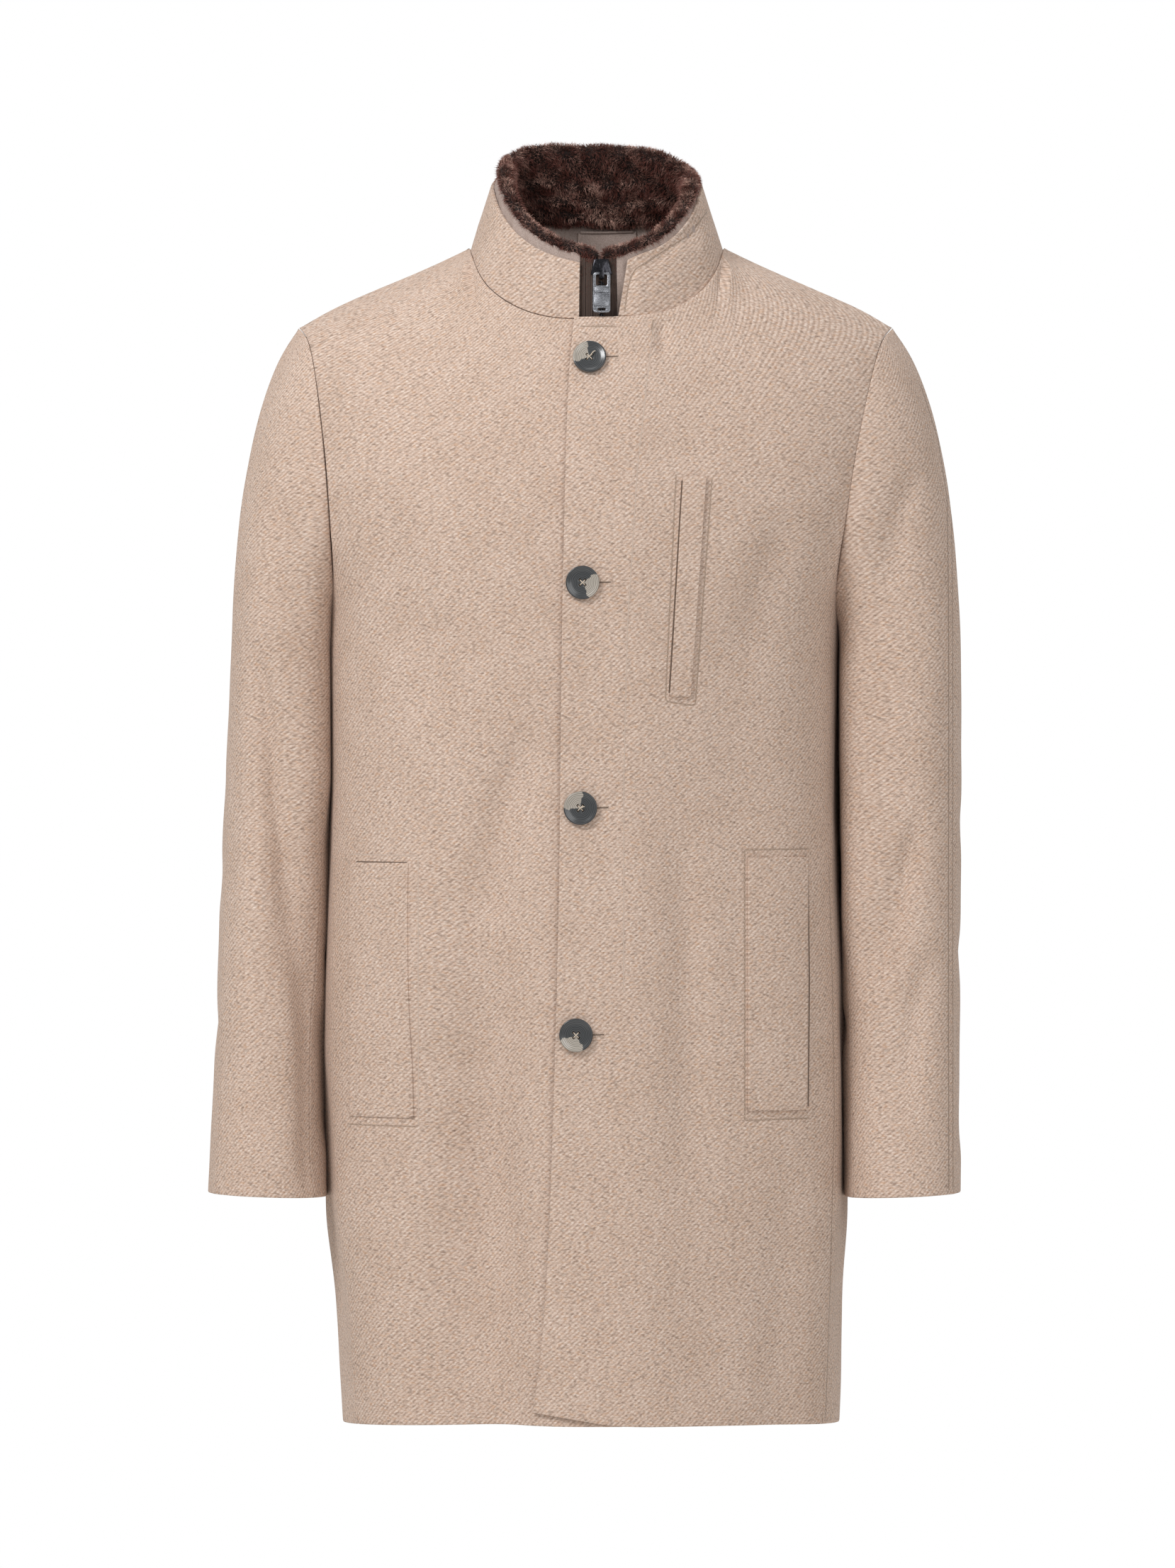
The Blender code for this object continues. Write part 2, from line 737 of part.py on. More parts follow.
def sleeve_grid(side, ring):
    """Places and wall directions of a whole sleeve, by row and round it."""
    rows = sleeve_rows(side, ring)
    lines = []
    for row, line in enumerate(rows):
        centre = sum(line, Vector()) / len(line)
        if row == 0:
            centre = sum(rows[2], Vector()) / len(line)
        lines.append([(place, grid_normal(rows, row, index, True, centre))
                      for index, place in enumerate(line)])
    for index, (place, normal) in enumerate(lines[0]):
        lines[0][index] = (place, mitre(ring[index][1], normal))
    return lines


def neck_share(across, front):
    """Share of the way round the neck from a front end to the centre back."""
    swing = math.asin(min(abs(across) / NECK_RADIUS, 1.0)) / math.pi
    return swing if front else 1.0 - swing


def stand_place(base, share):
    """Top of the stand collar above a place on the neckline."""
    rise = smooth_column(STAND, share, "rise")
    lean = smooth_column(STAND, share, "lean")
    inward = Vector((0.0, -0.015, 0.0)) - Vector((base.x, base.y, 0.0))
    return base + inward.normalized() * lean + Vector((0.0, 0.0, rise))


NeckColumn = namedtuple("NeckColumn", "base top inward upward torso_normal share")


def neck_column(across, front, side):
    """A column of the neck: its places on the neckline and on the collar's top."""
    word = "front_height" if front else "back_height"
    angle, turn = neckline_place(across, word)
    if not front:
        angle = 180.0 - angle
    base, normal = cloth_place(angle, min(turn, 1.0), lapped=side > 0)
    share = neck_share(across, front)
    top = stand_place(base, share)
    upward = (top - base).normalized()
    inward = Vector((0.0, -0.015, 0.0)) - Vector((base.x, base.y, 0.0))
    inward -= upward * inward.dot(upward)
    return NeckColumn(base, top, inward.normalized(), upward, normal, share)


def collar_columns():
    """Columns of the neck from the collar's left end round the back to its right end."""
    columns = []
    for index in range(NECK_COLUMNS):
        sweep = math.sin(index / NECK_COLUMNS * math.pi / 2.0)
        across = COLLAR_END_LEFT + (NECK_RADIUS - COLLAR_END_LEFT) * sweep
        columns.append(neck_column(across, True, 1))
    for index in range(BACK_NECK_COLUMNS + 1):
        across = NECK_RADIUS * math.cos(index / BACK_NECK_COLUMNS * math.pi)
        columns.append(neck_column(across, False, 0))
    for index in reversed(range(NECK_COLUMNS)):
        sweep = math.sin(index / NECK_COLUMNS * math.pi / 2.0)
        across = COLLAR_END_RIGHT + (-NECK_RADIUS - COLLAR_END_RIGHT) * sweep
        columns.append(neck_column(across, True, -1))
    leaning = columns[0].top + Vector((COLLAR_END_LEAN, COLLAR_END_BACK, 0.0))
    columns[0] = columns[0]._replace(top=leaning)
    return columns


def collar_grid(columns):
    """Places and wall directions of the stand collar, by column and row."""
    places = [[column.base.lerp(column.top, row / COLLAR_ROWS) for column in columns]
              for row in range(COLLAR_ROWS + 1)]
    grid = []
    for index, column in enumerate(columns):
        line = []
        for row in range(COLLAR_ROWS + 1):
            inside = places[row][index] + column.inward
            normal = grid_normal(places, row, index, False, inside)
            if row == 0:
                normal = mitre(column.torso_normal, normal)
            line.append((places[row][index], normal))
        grid.append(line)
    return grid


def draw_in(grid, first=False, last=False, low=False, high=False, inset=SEAM_INSET):
    """Move a grid's seamed sides in along the cloth, to leave the seam's clearance."""
    moved = [list(line) for line in grid]
    last_column = len(grid) - 1
    last_row = len(grid[0]) - 1

    def shift(column, row, next_column, next_row):
        place, normal = moved[column][row]
        here = grid[column][row][0]
        way = grid[next_column][next_row][0] - here
        if next_column == column:
            before = grid[max(column - 1, 0)][row][0]
            after = grid[min(column + 1, last_column)][row][0]
        else:
            before = grid[column][max(row - 1, 0)][0]
            after = grid[column][min(row + 1, last_row)][0]
        seam = (after - before).normalized()
        way -= seam * way.dot(seam)
        moved[column][row] = (place + way.normalized() * inset, normal)

    for row in range(last_row + 1):
        if first:
            shift(0, row, 1, row)
        if last:
            shift(last_column, row, last_column - 1, row)
    for column in range(last_column + 1):
        if low:
            shift(column, 0, column, 1)
        if high:
            shift(column, last_row, column, last_row - 1)
    return moved


def face_out(sheet):
    """Turn a closed body's faces outwards."""
    bmesh.ops.recalc_face_normals(sheet, faces=sheet.faces[:])
    if sheet.calc_volume(signed=True) < 0.0:
        bmesh.ops.reverse_faces(sheet, faces=sheet.faces[:])


def shell(name, grid, wall, collection, finish_name, lift=0.0):
    """Make a cloth wall: a grid on the outer face, extruded in along its normals."""
    columns = len(grid) - 1
    rows = len(grid[0]) - 1
    sheet = bmesh.new()
    bmesh.ops.create_grid(sheet, x_segments=columns, y_segments=rows, size=0.5)
    extruded = bmesh.ops.extrude_face_region(sheet, geom=sheet.faces[:])["geom"]
    inner = {item for item in extruded if isinstance(item, bmesh.types.BMVert)}
    for vertex in sheet.verts:
        column = round((vertex.co.x + 0.5) * columns)
        row = round((vertex.co.y + 0.5) * rows)
        place, normal = grid[column][row]
        depth = lift - wall if vertex in inner else lift
        vertex.co = place + normal * depth
    face_out(sheet)
    return add_mesh(name, sheet, collection, finish_name)


def add_mesh(name, sheet, collection, finish_name, smooth=True):
    """Turn a bmesh into a named object with its finish."""
    mesh = bpy.data.meshes.new(name)
    sheet.to_mesh(mesh)
    sheet.free()
    if smooth:
        mesh.shade_smooth()
        mesh.set_sharp_from_angle(angle=math.radians(50.0))
    mesh.materials.append(finish(finish_name))
    item = bpy.data.objects.new(name, mesh)
    collection.objects.link(item)
    return item


def add_sleeves_and_panels(collection):
    """Add the fronts, the back, the sleeves and the stand collar."""
    columns = collar_columns()
    fronts = {1: front_grid(1), -1: front_grid(-1)}
    back = back_grid()
    collar = collar_grid(columns)
    last = len(back) - 1
    for side, word in ((1, "left"), (-1, "right")):
        ring = armhole_ring(side)
        sleeve = sleeve_grid(side, ring)
        for index in range(ARMHOLE_ROWS + 1):
            row = LOWER_ROWS + ARMHOLE_ROWS - index
            direction = sleeve[0][index][1]
            fronts[side][-1][row] = (fronts[side][-1][row][0], direction)
            opposite = sleeve[0][(2 * ARMHOLE_ROWS - index) % (2 * ARMHOLE_ROWS)][1]
            edge = back[last if side > 0 else 0]
            edge[row] = (edge[row][0], opposite)
        around = 2 * ARMHOLE_ROWS
        pieces = (("sleeve_front_", range(FOREARM_SEAM + 1)),
                  ("sleeve_back_", range(FOREARM_SEAM, around + 1)))
        for prefix, span in pieces:
            grid = [[line[index % around] for line in sleeve] for index in span]
            grid = draw_in(grid, first=True, last=True, low=True)
            shell(prefix + word, grid, WOOL_WALL, collection, "wool")
    for index in range(NECK_COLUMNS):
        for side, column in ((1, index), (-1, len(columns) - 1 - index)):
            line = fronts[side][index + 1]
            line[-1] = (line[-1][0], collar[column][0][1])
    for side, column in ((1, NECK_COLUMNS), (-1, NECK_COLUMNS + BACK_NECK_COLUMNS)):
        line = fronts[side][NECK_COLUMNS + 1]
        line[-1] = (line[-1][0], collar[column][0][1])
    for index in range(BACK_NECK_COLUMNS + 1):
        line = back[last - SHOULDER_COLUMNS - index]
        line[-1] = (line[-1][0], collar[NECK_COLUMNS + index][0][1])
    for side, word in ((1, "left"), (-1, "right")):
        grid = draw_in(fronts[side], last=True, high=True)
        shell("front_" + word, grid, WOOL_WALL, collection, "wool")
    middle = last // 2
    for word, half in (("right", back[:middle + 1]), ("left", back[middle:])):
        shell("back_" + word, draw_in(half, first=True, last=True, high=True), WOOL_WALL,
              collection, "wool")
    shell("collar", draw_in(collar, low=True, inset=COLLAR_INSET), WOOL_WALL,
          collection, "wool")
    return columns


def strip_shown(share, across):
    """How far the insert stands above the wool collar, by the way round the neck."""
    return smooth_column(STRIPS, share, "left" if across > 0.0 else "right")


def inner_column(across, front):
    """A column of the neck on the form below the front overlap."""
    return neck_column(across, front, 0)


def neck_reach(end, index):
    """Place across of a front neck column, from a collar end to the side neck."""
    side = math.copysign(1.0, end)
    return end + (side * NECK_RADIUS - end) * math.sin(index / NECK_COLUMNS * math.pi / 2.0)


def insert_line(across, front, top_rise):
    """Places and wall directions of the insert up a neck column, from its bib."""
    column = inner_column(across, front)
    word = "front_height" if front else "back_height"
    angle, turn = neckline_place(across, word)
    line = []
    for row in range(BIB_ROWS, 0, -1):
        spread = angle * (1.0 + 0.08 * row)
        lower = min(turn, 1.0) - BIB_TURN * row
        place, normal = cloth_place(spread if front else 180.0 - spread, lower)
        line.append((place - normal * BIB_SET_IN, normal))
    bend = mitre(column.torso_normal, -column.inward)
    line.append((column.base - bend * NECKLINE_SET_IN, bend))
    for row in range(1, INSERT_ROWS + 1):
        place = column.base + column.upward * (top_rise * row / INSERT_ROWS)
        line.append((place, -column.inward))
    return line


def stand_length(across, front):
    """Length of the wool collar up a neck column."""
    column = inner_column(across, front)
    return (column.top - column.base).length


def add_insert(collection):
    """Add the insert's fronts and back, its zip tapes and the patch."""
    set_in = WOOL_WALL + INSERT_SET_IN
    for end, word in ((COLLAR_END_LEFT, "left"), (COLLAR_END_RIGHT, "right")):
        reaches = [neck_reach(end, index) for index in range(NECK_COLUMNS + 1)]
        grid = []
        for across in reaches:
            shown = strip_shown(neck_share(across, True), across)
            grid.append(insert_line(across, True, stand_length(across, True) + shown))
        grid = draw_in(grid, first=True, last=True)
        shell("insert_" + word, grid, INSERT_WALL, collection, "insert_cloth", -set_in)
        middle = ZIP_X + math.copysign(TAPE_GAP, end)
        tape = []
        for share in (0.0, 0.35, 1.0):
            across = mix(middle, end, share)
            rise = stand_length(across, True) * SLIDER_TOP_SHARE
            tape.append(insert_line(across, True, rise))
        tape = draw_in(tape, last=True)
        shell("zip_tape_" + word, tape, INSERT_WALL, collection, "tape", -set_in)
    grid = []
    for index in range(BACK_NECK_COLUMNS + 1):
        across = NECK_RADIUS * math.cos(index / BACK_NECK_COLUMNS * math.pi)
        rise = stand_length(across, False) * INSERT_BACK_TOP
        grid.append(insert_line(across, False, rise))
    grid = draw_in(grid, first=True, last=True)
    shell("insert_back", grid, INSERT_WALL, collection, "insert_cloth", -set_in)
    patch = []
    for index in range(5):
        column = inner_column(mix(PATCH_FROM, PATCH_TO, index / 4), False)
        heights = (PATCH_LOW, (PATCH_LOW + PATCH_HIGH) / 2.0, PATCH_HIGH)
        patch.append([(column.base + column.upward * height, -column.inward)
                      for height in heights])
    shell("neck_patch", patch, PATCH_WALL, collection, "patch",
          -set_in - INSERT_WALL - PATCH_SET_IN)


def fur_ring(across, front):
    """The fur's section at a neck column."""
    column = inner_column(across, front)
    length = (column.top - column.base).length
    top = length + strip_shown(column.share, across)
    low = length * mix(FUR_LOW_FRONT, FUR_LOW_BACK, column.share)
    set_in = WOOL_WALL + INSERT_SET_IN + INSERT_WALL + FUR_SET_IN
    ring = []
    for point in FUR_SECTION:
        height = mix(top, low, point.drop) + point.upward
        inward = set_in + point.inward
        ring.append(column.base + column.upward * height + column.inward * inward)
    return ring


def add_fur(collection):
    """Add the fur as one loft round the neck, closed at its two ends by the zip."""
    rings = [fur_ring(ZIP_X + FUR_END, True)]
    for index in range(NECK_COLUMNS):
        rings.append(fur_ring(neck_reach(COLLAR_END_LEFT, index), True))
    for index in range(BACK_NECK_COLUMNS + 1):
        across = NECK_RADIUS * math.cos(index / BACK_NECK_COLUMNS * math.pi)
        rings.append(fur_ring(across, False))
    for index in reversed(range(NECK_COLUMNS)):
        rings.append(fur_ring(neck_reach(COLLAR_END_RIGHT, index), True))
    rings.append(fur_ring(ZIP_X - FUR_END, True))
    sheet = bmesh.new()
    loops = [[sheet.verts.new(place) for place in ring] for ring in rings]
    count = len(FUR_SECTION)
    for first, second in zip(loops, loops[1:]):
        for index in range(count):
            after = (index + 1) % count
            sheet.faces.new((first[index], first[after], second[after], second[index]))
    sheet.faces.new(loops[0])
    sheet.faces.new(loops[-1])
    face_out(sheet)
    add_mesh("fur_collar", sheet, collection, "fur")


def add_welts(collection):
    """Add the pocket welts, from the fronts' own places moved out."""
    columns = 5
    rows = 8
    for welt in WELTS:
        grid = []
        for column in range(columns + 1):
            line = []
            for row in range(rows + 1):
                height = mix(welt.bottom, welt.top, row / rows)
                inner = mix(welt.bottom_in, welt.top_in, row / rows)
                outer = mix(welt.bottom_out, welt.top_out, row / rows)
                across = mix(inner, outer, column / columns)
                line.append(cloth_place(angle_at(across, height), turn_at(across, height),
                                        lapped=across > 0.0))
            grid.append(line)
        shell(welt.name, grid, WELT_WALL, collection, "wool", WELT_LIFT + WELT_WALL)


def box_mesh(name, size, collection):
    """Make a box of the given size about its origin."""
    sheet = bmesh.new()
    bmesh.ops.create_cube(sheet, size=1.0)
    bmesh.ops.scale(sheet, vec=size, verts=sheet.verts[:])
    return add_mesh(name, sheet, collection, "gunmetal", smooth=False)


def hide_cutter(item):
    """Mark an object as a cutter."""
    item.hide_render = True
    item.display_type = "WIRE"


def add_boolean(item, other, operation):
    """Join or cut an object with another."""
    modifier = item.modifiers.new(operation.lower(), "BOOLEAN")
    modifier.operation = operation
    modifier.object = other
    modifier.solver = "EXACT"


def button_profile():
    """Half section of a dished button, from its top centre down its rim to its back."""
    radius = BUTTON_RADIUS
    return ((0.0, 0.0022), (radius * 0.52, 0.0024), (radius * 0.70, 0.0036),
            (radius * 0.84, 0.0042), (radius * 0.96, 0.0034), (radius, 0.0018),
            (radius * 0.92, 0.0004), (radius * 0.76, 0.0), (0.0, 0.0))


def button_mesh(collection, cutters):
    """Make the button's mesh: a turned profile with four thread holes."""
    sheet = bmesh.new()
    corners = [sheet.verts.new((x, 0.0, z)) for x, z in button_profile()]
    for first, second in zip(corners, corners[1:]):
        sheet.edges.new((first, second))
    turned = add_mesh("button_form", sheet, collection, "horn", smooth=False)
    screw = turned.modifiers.new("turn", "SCREW")
    screw.steps = BUTTON_STEPS
    screw.render_steps = BUTTON_STEPS
    screw.use_merge_vertices = True
    screw.merge_threshold = 0.00001
    drills = bmesh.new()
    for index in range(4):
        angle = math.pi / 4.0 + index * math.pi / 2.0
        across = Vector((math.cos(angle), math.sin(angle), 0.0)) * BUTTON_HOLE_SPREAD
        bmesh.ops.create_cone(drills, cap_ends=True, segments=8, depth=0.02,
                              radius1=BUTTON_HOLE_RADIUS, radius2=BUTTON_HOLE_RADIUS,
                              matrix=Matrix.Translation(across))
    drill = add_mesh("button_drill", drills, cutters, "horn", smooth=False)
    hide_cutter(drill)
    add_boolean(turned, drill, "DIFFERENCE")
    graph = bpy.context.evaluated_depsgraph_get()
    mesh = bpy.data.meshes.new_from_object(turned.evaluated_get(graph))
    mesh.shade_smooth()
    mesh.set_sharp_from_angle(angle=math.radians(40.0))
    bpy.data.objects.remove(turned, do_unlink=True)
    return mesh


def add_buttons(collection, cutters):
    """Sit the buttons on the left front."""
    mesh = button_mesh(collection, cutters)
    for row in BUTTONS:
        place, normal = cloth_place(angle_at(row.across, row.height),
                                    turn_at(row.across, row.height), lapped=True)
        item = bpy.data.objects.new(row.name, mesh)
        item.location = place + normal * row.clearance
        item.rotation_mode = "QUATERNION"
        item.rotation_quaternion = normal.to_track_quat("Z", "Y")
        collection.objects.link(item)


def rounded_outline(low, high, half_width, corner):
    """Corners of an upright rectangle with rounded corners, about X = 0."""
    centres = ((half_width - corner, high - corner, 0.0),
               (corner - half_width, high - corner, 90.0),
               (corner - half_width, low + corner, 180.0),
               (half_width - corner, low + corner, 270.0))
    outline = []
    for x, y, start in centres:
        for step in range(4):
            angle = math.radians(start + step * 30.0)
            outline.append((x + corner * math.cos(angle), y + corner * math.sin(angle)))
    return outline


def add_zip(collection, cutters):
    """Add the slider with its bridge, and the pull tab that hangs from it."""
    column = inner_column(ZIP_X, True)
    outward = -column.inward
    length = (column.top - column.base).length
    middle = length * SLIDER_TOP_SHARE - SLIDER_HEIGHT / 2.0
    face = column.base + column.upward * middle
    face += column.inward * (WOOL_WALL + INSERT_SET_IN)
    side = column.upward.cross(outward)
    turn = Matrix((side, outward, column.upward)).transposed().to_quaternion()

    sheet = bmesh.new()
    bmesh.ops.create_cube(sheet, size=1.0)
    for vertex in sheet.verts:
        width = SLIDER_WIDTH if vertex.co.z > 0.0 else SLIDER_FOOT
        vertex.co = Vector((vertex.co.x * width, vertex.co.y * SLIDER_THICK,
                            vertex.co.z * SLIDER_HEIGHT))
    slider = add_mesh("zip_slider", sheet, collection, "gunmetal", smooth=False)
    slider.location = face + outward * (SLIDER_THICK / 2.0 + 0.0003)
    bevel = slider.modifiers.new("bevel", "BEVEL")
    bevel.width = 0.0009
    bevel.segments = 2
    front = slider.location + outward * (SLIDER_THICK / 2.0)
    front -= column.upward * BRIDGE_DROP
    bridge = box_mesh("zip_bridge", (BRIDGE_WIDTH, BRIDGE_REACH + 0.001, BRIDGE_HEIGHT), cutters)
    bridge.location = front + outward * ((BRIDGE_REACH - 0.001) / 2.0)
    reach = BRIDGE_REACH - BRIDGE_WALL
    slot = box_mesh("zip_slot", (0.010, reach, BRIDGE_HEIGHT - 2.0 * BRIDGE_WALL), cutters)
    slot.location = front + outward * (reach / 2.0)
    for item in (slider, bridge, slot):
        item.rotation_mode = "QUATERNION"
        item.rotation_quaternion = turn
    for item, operation in ((bridge, "UNION"), (slot, "DIFFERENCE")):
        hide_cutter(item)
        add_boolean(slider, item, operation)

    outline = bpy.data.curves.new("zip_pull", "CURVE")
    outline.dimensions = "2D"
    outline.fill_mode = "BOTH"
    outline.extrude = PULL_THICK / 2.0
    top = PULL_BAR / 2.0
    foot = top - PULL_LENGTH
    slot_low = foot + PULL_SLOT_FOOT
    loops = (rounded_outline(foot, top, PULL_WIDTH / 2.0, 0.0022),
             rounded_outline(-top - PULL_HOLE_LENGTH, -top, PULL_HOLE_WIDTH / 2.0, 0.0015),
             rounded_outline(slot_low, slot_low + PULL_SLOT_LENGTH, PULL_SLOT_WIDTH / 2.0, 0.0008))
    for loop in loops:
        spline = outline.splines.new("POLY")
        spline.points.add(len(loop) - 1)
        spline.use_cyclic_u = True
        for point, (x, y) in zip(spline.points, loop):
            point.co = (x, y, 0.0, 1.0)
    outline.materials.append(finish("old_silver"))
    pull = bpy.data.objects.new("zip_pull", outline)
    pull.location = front + outward * (reach / 2.0) - column.upward * PULL_BELOW_MIDDLE
    pull.rotation_euler = (math.radians(90.0 - PULL_TILT), 0.0, 0.0)
    collection.objects.link(pull)


def main():
    """Build the coat."""
    clear_scene()
    coat = new_collection(OBJECT_NAME)
    cutters = new_collection("cutters")
    add_sleeves_and_panels(coat)
    add_insert(coat)
    add_fur(coat)
    add_welts(coat)
    add_buttons(coat, cutters)
    add_zip(coat, cutters)


main()
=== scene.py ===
"""A thigh-length winter coat in beige wool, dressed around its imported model.

Metres, with the origin between the wearer's side neck points. +X is the wearer's left,
the front faces -Y and +Z is up.
"""
import math
from collections import namedtuple

import bmesh
import bpy
import numpy as np
from mathutils import Matrix, Vector
from mathutils.bvhtree import BVHTree


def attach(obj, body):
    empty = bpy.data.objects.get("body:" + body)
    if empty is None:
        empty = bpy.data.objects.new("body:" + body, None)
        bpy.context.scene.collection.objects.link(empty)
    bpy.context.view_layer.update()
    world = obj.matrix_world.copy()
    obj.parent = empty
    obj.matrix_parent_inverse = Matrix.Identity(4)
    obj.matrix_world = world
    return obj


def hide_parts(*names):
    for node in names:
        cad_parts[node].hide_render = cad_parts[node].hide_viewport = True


bl_info = {
    "name": "Winter Coat",
    "version": (1, 0, 0),
    "blender": (4, 5, 0),
    "location": "View3D > Sidebar > Coat",
    "description": "Dresses the packed winter coat in wool, fur, buttons and a zip",
    "category": "Object",
}

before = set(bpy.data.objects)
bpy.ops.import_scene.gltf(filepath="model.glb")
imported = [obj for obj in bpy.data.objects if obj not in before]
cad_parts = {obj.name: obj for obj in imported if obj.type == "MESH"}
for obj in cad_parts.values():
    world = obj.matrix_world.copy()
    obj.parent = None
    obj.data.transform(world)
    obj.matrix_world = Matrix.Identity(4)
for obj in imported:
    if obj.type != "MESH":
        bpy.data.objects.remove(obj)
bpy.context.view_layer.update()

COAT = "coat"
PULL = "pull"

# The photograph's frame: its height in pixels, and the size of a pixel at the coat's
# middle, seen from CAMERA_DISTANCE. The sensor's height is in millimetres
IMAGE_HEIGHT = 2212
PIXEL = 0.00054
CAMERA_DISTANCE = 6.0
CAMERA_ACROSS = -0.0070
CAMERA_HEIGHT = -0.4045
SENSOR = 36.0

# How a copied node becomes cloth
WELD = 0.00001
QUAD_BEND = math.radians(70)
QUAD_SKEW = math.radians(120)
EDGE_ANGLE = math.radians(50)
CORNER_EDGES = 3

# The torso's and the sleeves' middles and half sizes, for the way that cloth swells
BODY_MIDDLE = -0.006
BODY_HALF_WIDTH = 0.19
BODY_HALF_DEPTH = 0.14
SLEEVE_HALF_WIDTH = 0.043
SLEEVE_HALF_DEPTH = 0.066
COLLAR_RADIUS = 0.09

# The sleeves' middles across and fore and aft, from the cuff up
SleeveMiddle = namedtuple("SleeveMiddle", "height left right fore")
SLEEVE_MIDDLES = (
    SleeveMiddle(-0.715, 0.2344, -0.2507, -0.030),
    SleeveMiddle(-0.600, 0.2340, -0.2488, -0.014),
    SleeveMiddle(-0.500, 0.2341, -0.2461, -0.002),
    SleeveMiddle(-0.420, 0.2341, -0.2440, 0.004),
    SleeveMiddle(-0.300, 0.2340, -0.2425, 0.002),
    SleeveMiddle(-0.060, 0.2050, -0.2080, 0.000),
)

# One row for each panel: the cut's width and length, and its flat area
Cloth = namedtuple("Cloth", "node levels crease width length area")
WOOL_PANELS = (
    Cloth("front_left", 3, 0.75, 0.330, 0.895, 0.216),
    Cloth("front_right", 3, 0.75, 0.310, 0.895, 0.222),
    Cloth("back_left", 3, 0.75, 0.345, 0.900, 0.262),
    Cloth("back_right", 3, 0.75, 0.345, 0.900, 0.262),
    Cloth("sleeve_front_left", 3, 0.75, 0.150, 0.670, 0.064),
    Cloth("sleeve_back_left", 3, 0.75, 0.270, 0.680, 0.143),
    Cloth("sleeve_front_right", 3, 0.75, 0.145, 0.670, 0.060),
    Cloth("sleeve_back_right", 3, 0.75, 0.265, 0.680, 0.140),
    Cloth("collar", 4, 0.70, 0.480, 0.092, 0.034),
)
INSERT_PANELS = (
    Cloth("insert_left", 3, 0.75, 0.120, 0.210, 0.0175),
    Cloth("insert_right", 3, 0.75, 0.120, 0.210, 0.018),
    Cloth("insert_back", 3, 0.75, 0.240, 0.170, 0.033),
)

# A crease is a soft trough or ridge along a line that is seen from one side. Its places
# are across and up, and across is fore and aft on the two flanks
Crease = namedtuple("Crease", "side places width rise")
BODY_CREASES = (
    Crease("front", ((-0.046, -0.350), (-0.070, -0.430), (-0.086, -0.530)), 0.015, -0.0042),
    Crease("front", ((-0.082, -0.420), (-0.076, -0.760), (-0.070, -1.200)), 0.030, -0.0080),
    Crease("front", ((-0.112, -0.500), (-0.098, -0.830), (-0.090, -1.250)), 0.052, -0.0100),
    Crease("front", ((-0.124, -0.430), (-0.128, -0.520), (-0.124, -0.620)), 0.020, 0.0022),
    Crease("front", ((-0.112, -0.270), (-0.122, -0.310), (-0.130, -0.360)), 0.011, -0.0018),
    Crease("front", ((-0.168, -0.180), (-0.150, -0.250), (-0.142, -0.330)), 0.020, -0.0022),
    Crease("front", ((0.096, -0.180), (0.116, -0.640), (0.122, -1.250)), 0.038, -0.0050),
    Crease("front", ((0.062, -0.420), (0.070, -0.560), (0.072, -0.720)), 0.016, -0.0024),
    Crease("front", ((0.148, -0.640), (0.146, -0.830), (0.138, -1.100)), 0.022, -0.0034),
    Crease("front", ((0.150, -0.190), (0.128, -0.260), (0.116, -0.330)), 0.018, -0.0026),
    Crease("front", ((0.045, -0.056), (0.050, -0.072), (0.048, -0.088)), 0.005, -0.0020),
    Crease("back", ((-0.088, -0.250), (-0.104, -0.470), (-0.092, -1.150)), 0.024, -0.0040),
    Crease("back", ((-0.046, -0.330), (-0.050, -0.560), (-0.062, -1.150)), 0.022, 0.0026),
    Crease("back", ((0.020, -0.420), (0.012, -0.640), (0.026, -1.150)), 0.024, -0.0030),
    Crease("back", ((0.078, -0.210), (0.098, -0.420), (0.088, -1.150)), 0.026, -0.0044),
    Crease("back", ((0.120, -0.390), (0.132, -0.620), (0.120, -1.150)), 0.020, 0.0022),
    Crease("back", ((-0.140, -0.160), (-0.110, -0.220), (-0.060, -0.262)), 0.015, -0.0022),
    Crease("back", ((0.142, -0.150), (0.108, -0.215), (0.052, -0.248)), 0.016, -0.0024),
    Crease("back", ((-0.060, -0.044), (0.000, -0.052), (0.055, -0.043)), 0.010, -0.0014),
    Crease("left", ((0.015, -0.340), (0.030, -0.560), (0.018, -0.870)), 0.022, -0.0030),
    Crease("left", ((-0.035, -0.520), (-0.030, -0.690), (-0.044, -0.880)), 0.018, -0.0020),
    Crease("right", ((0.028, -0.330), (0.018, -0.590), (0.034, -0.880)), 0.024, -0.0032),
    Crease("right", ((-0.030, -0.600), (-0.042, -0.740), (-0.036, -0.885)), 0.018, -0.0020),
)
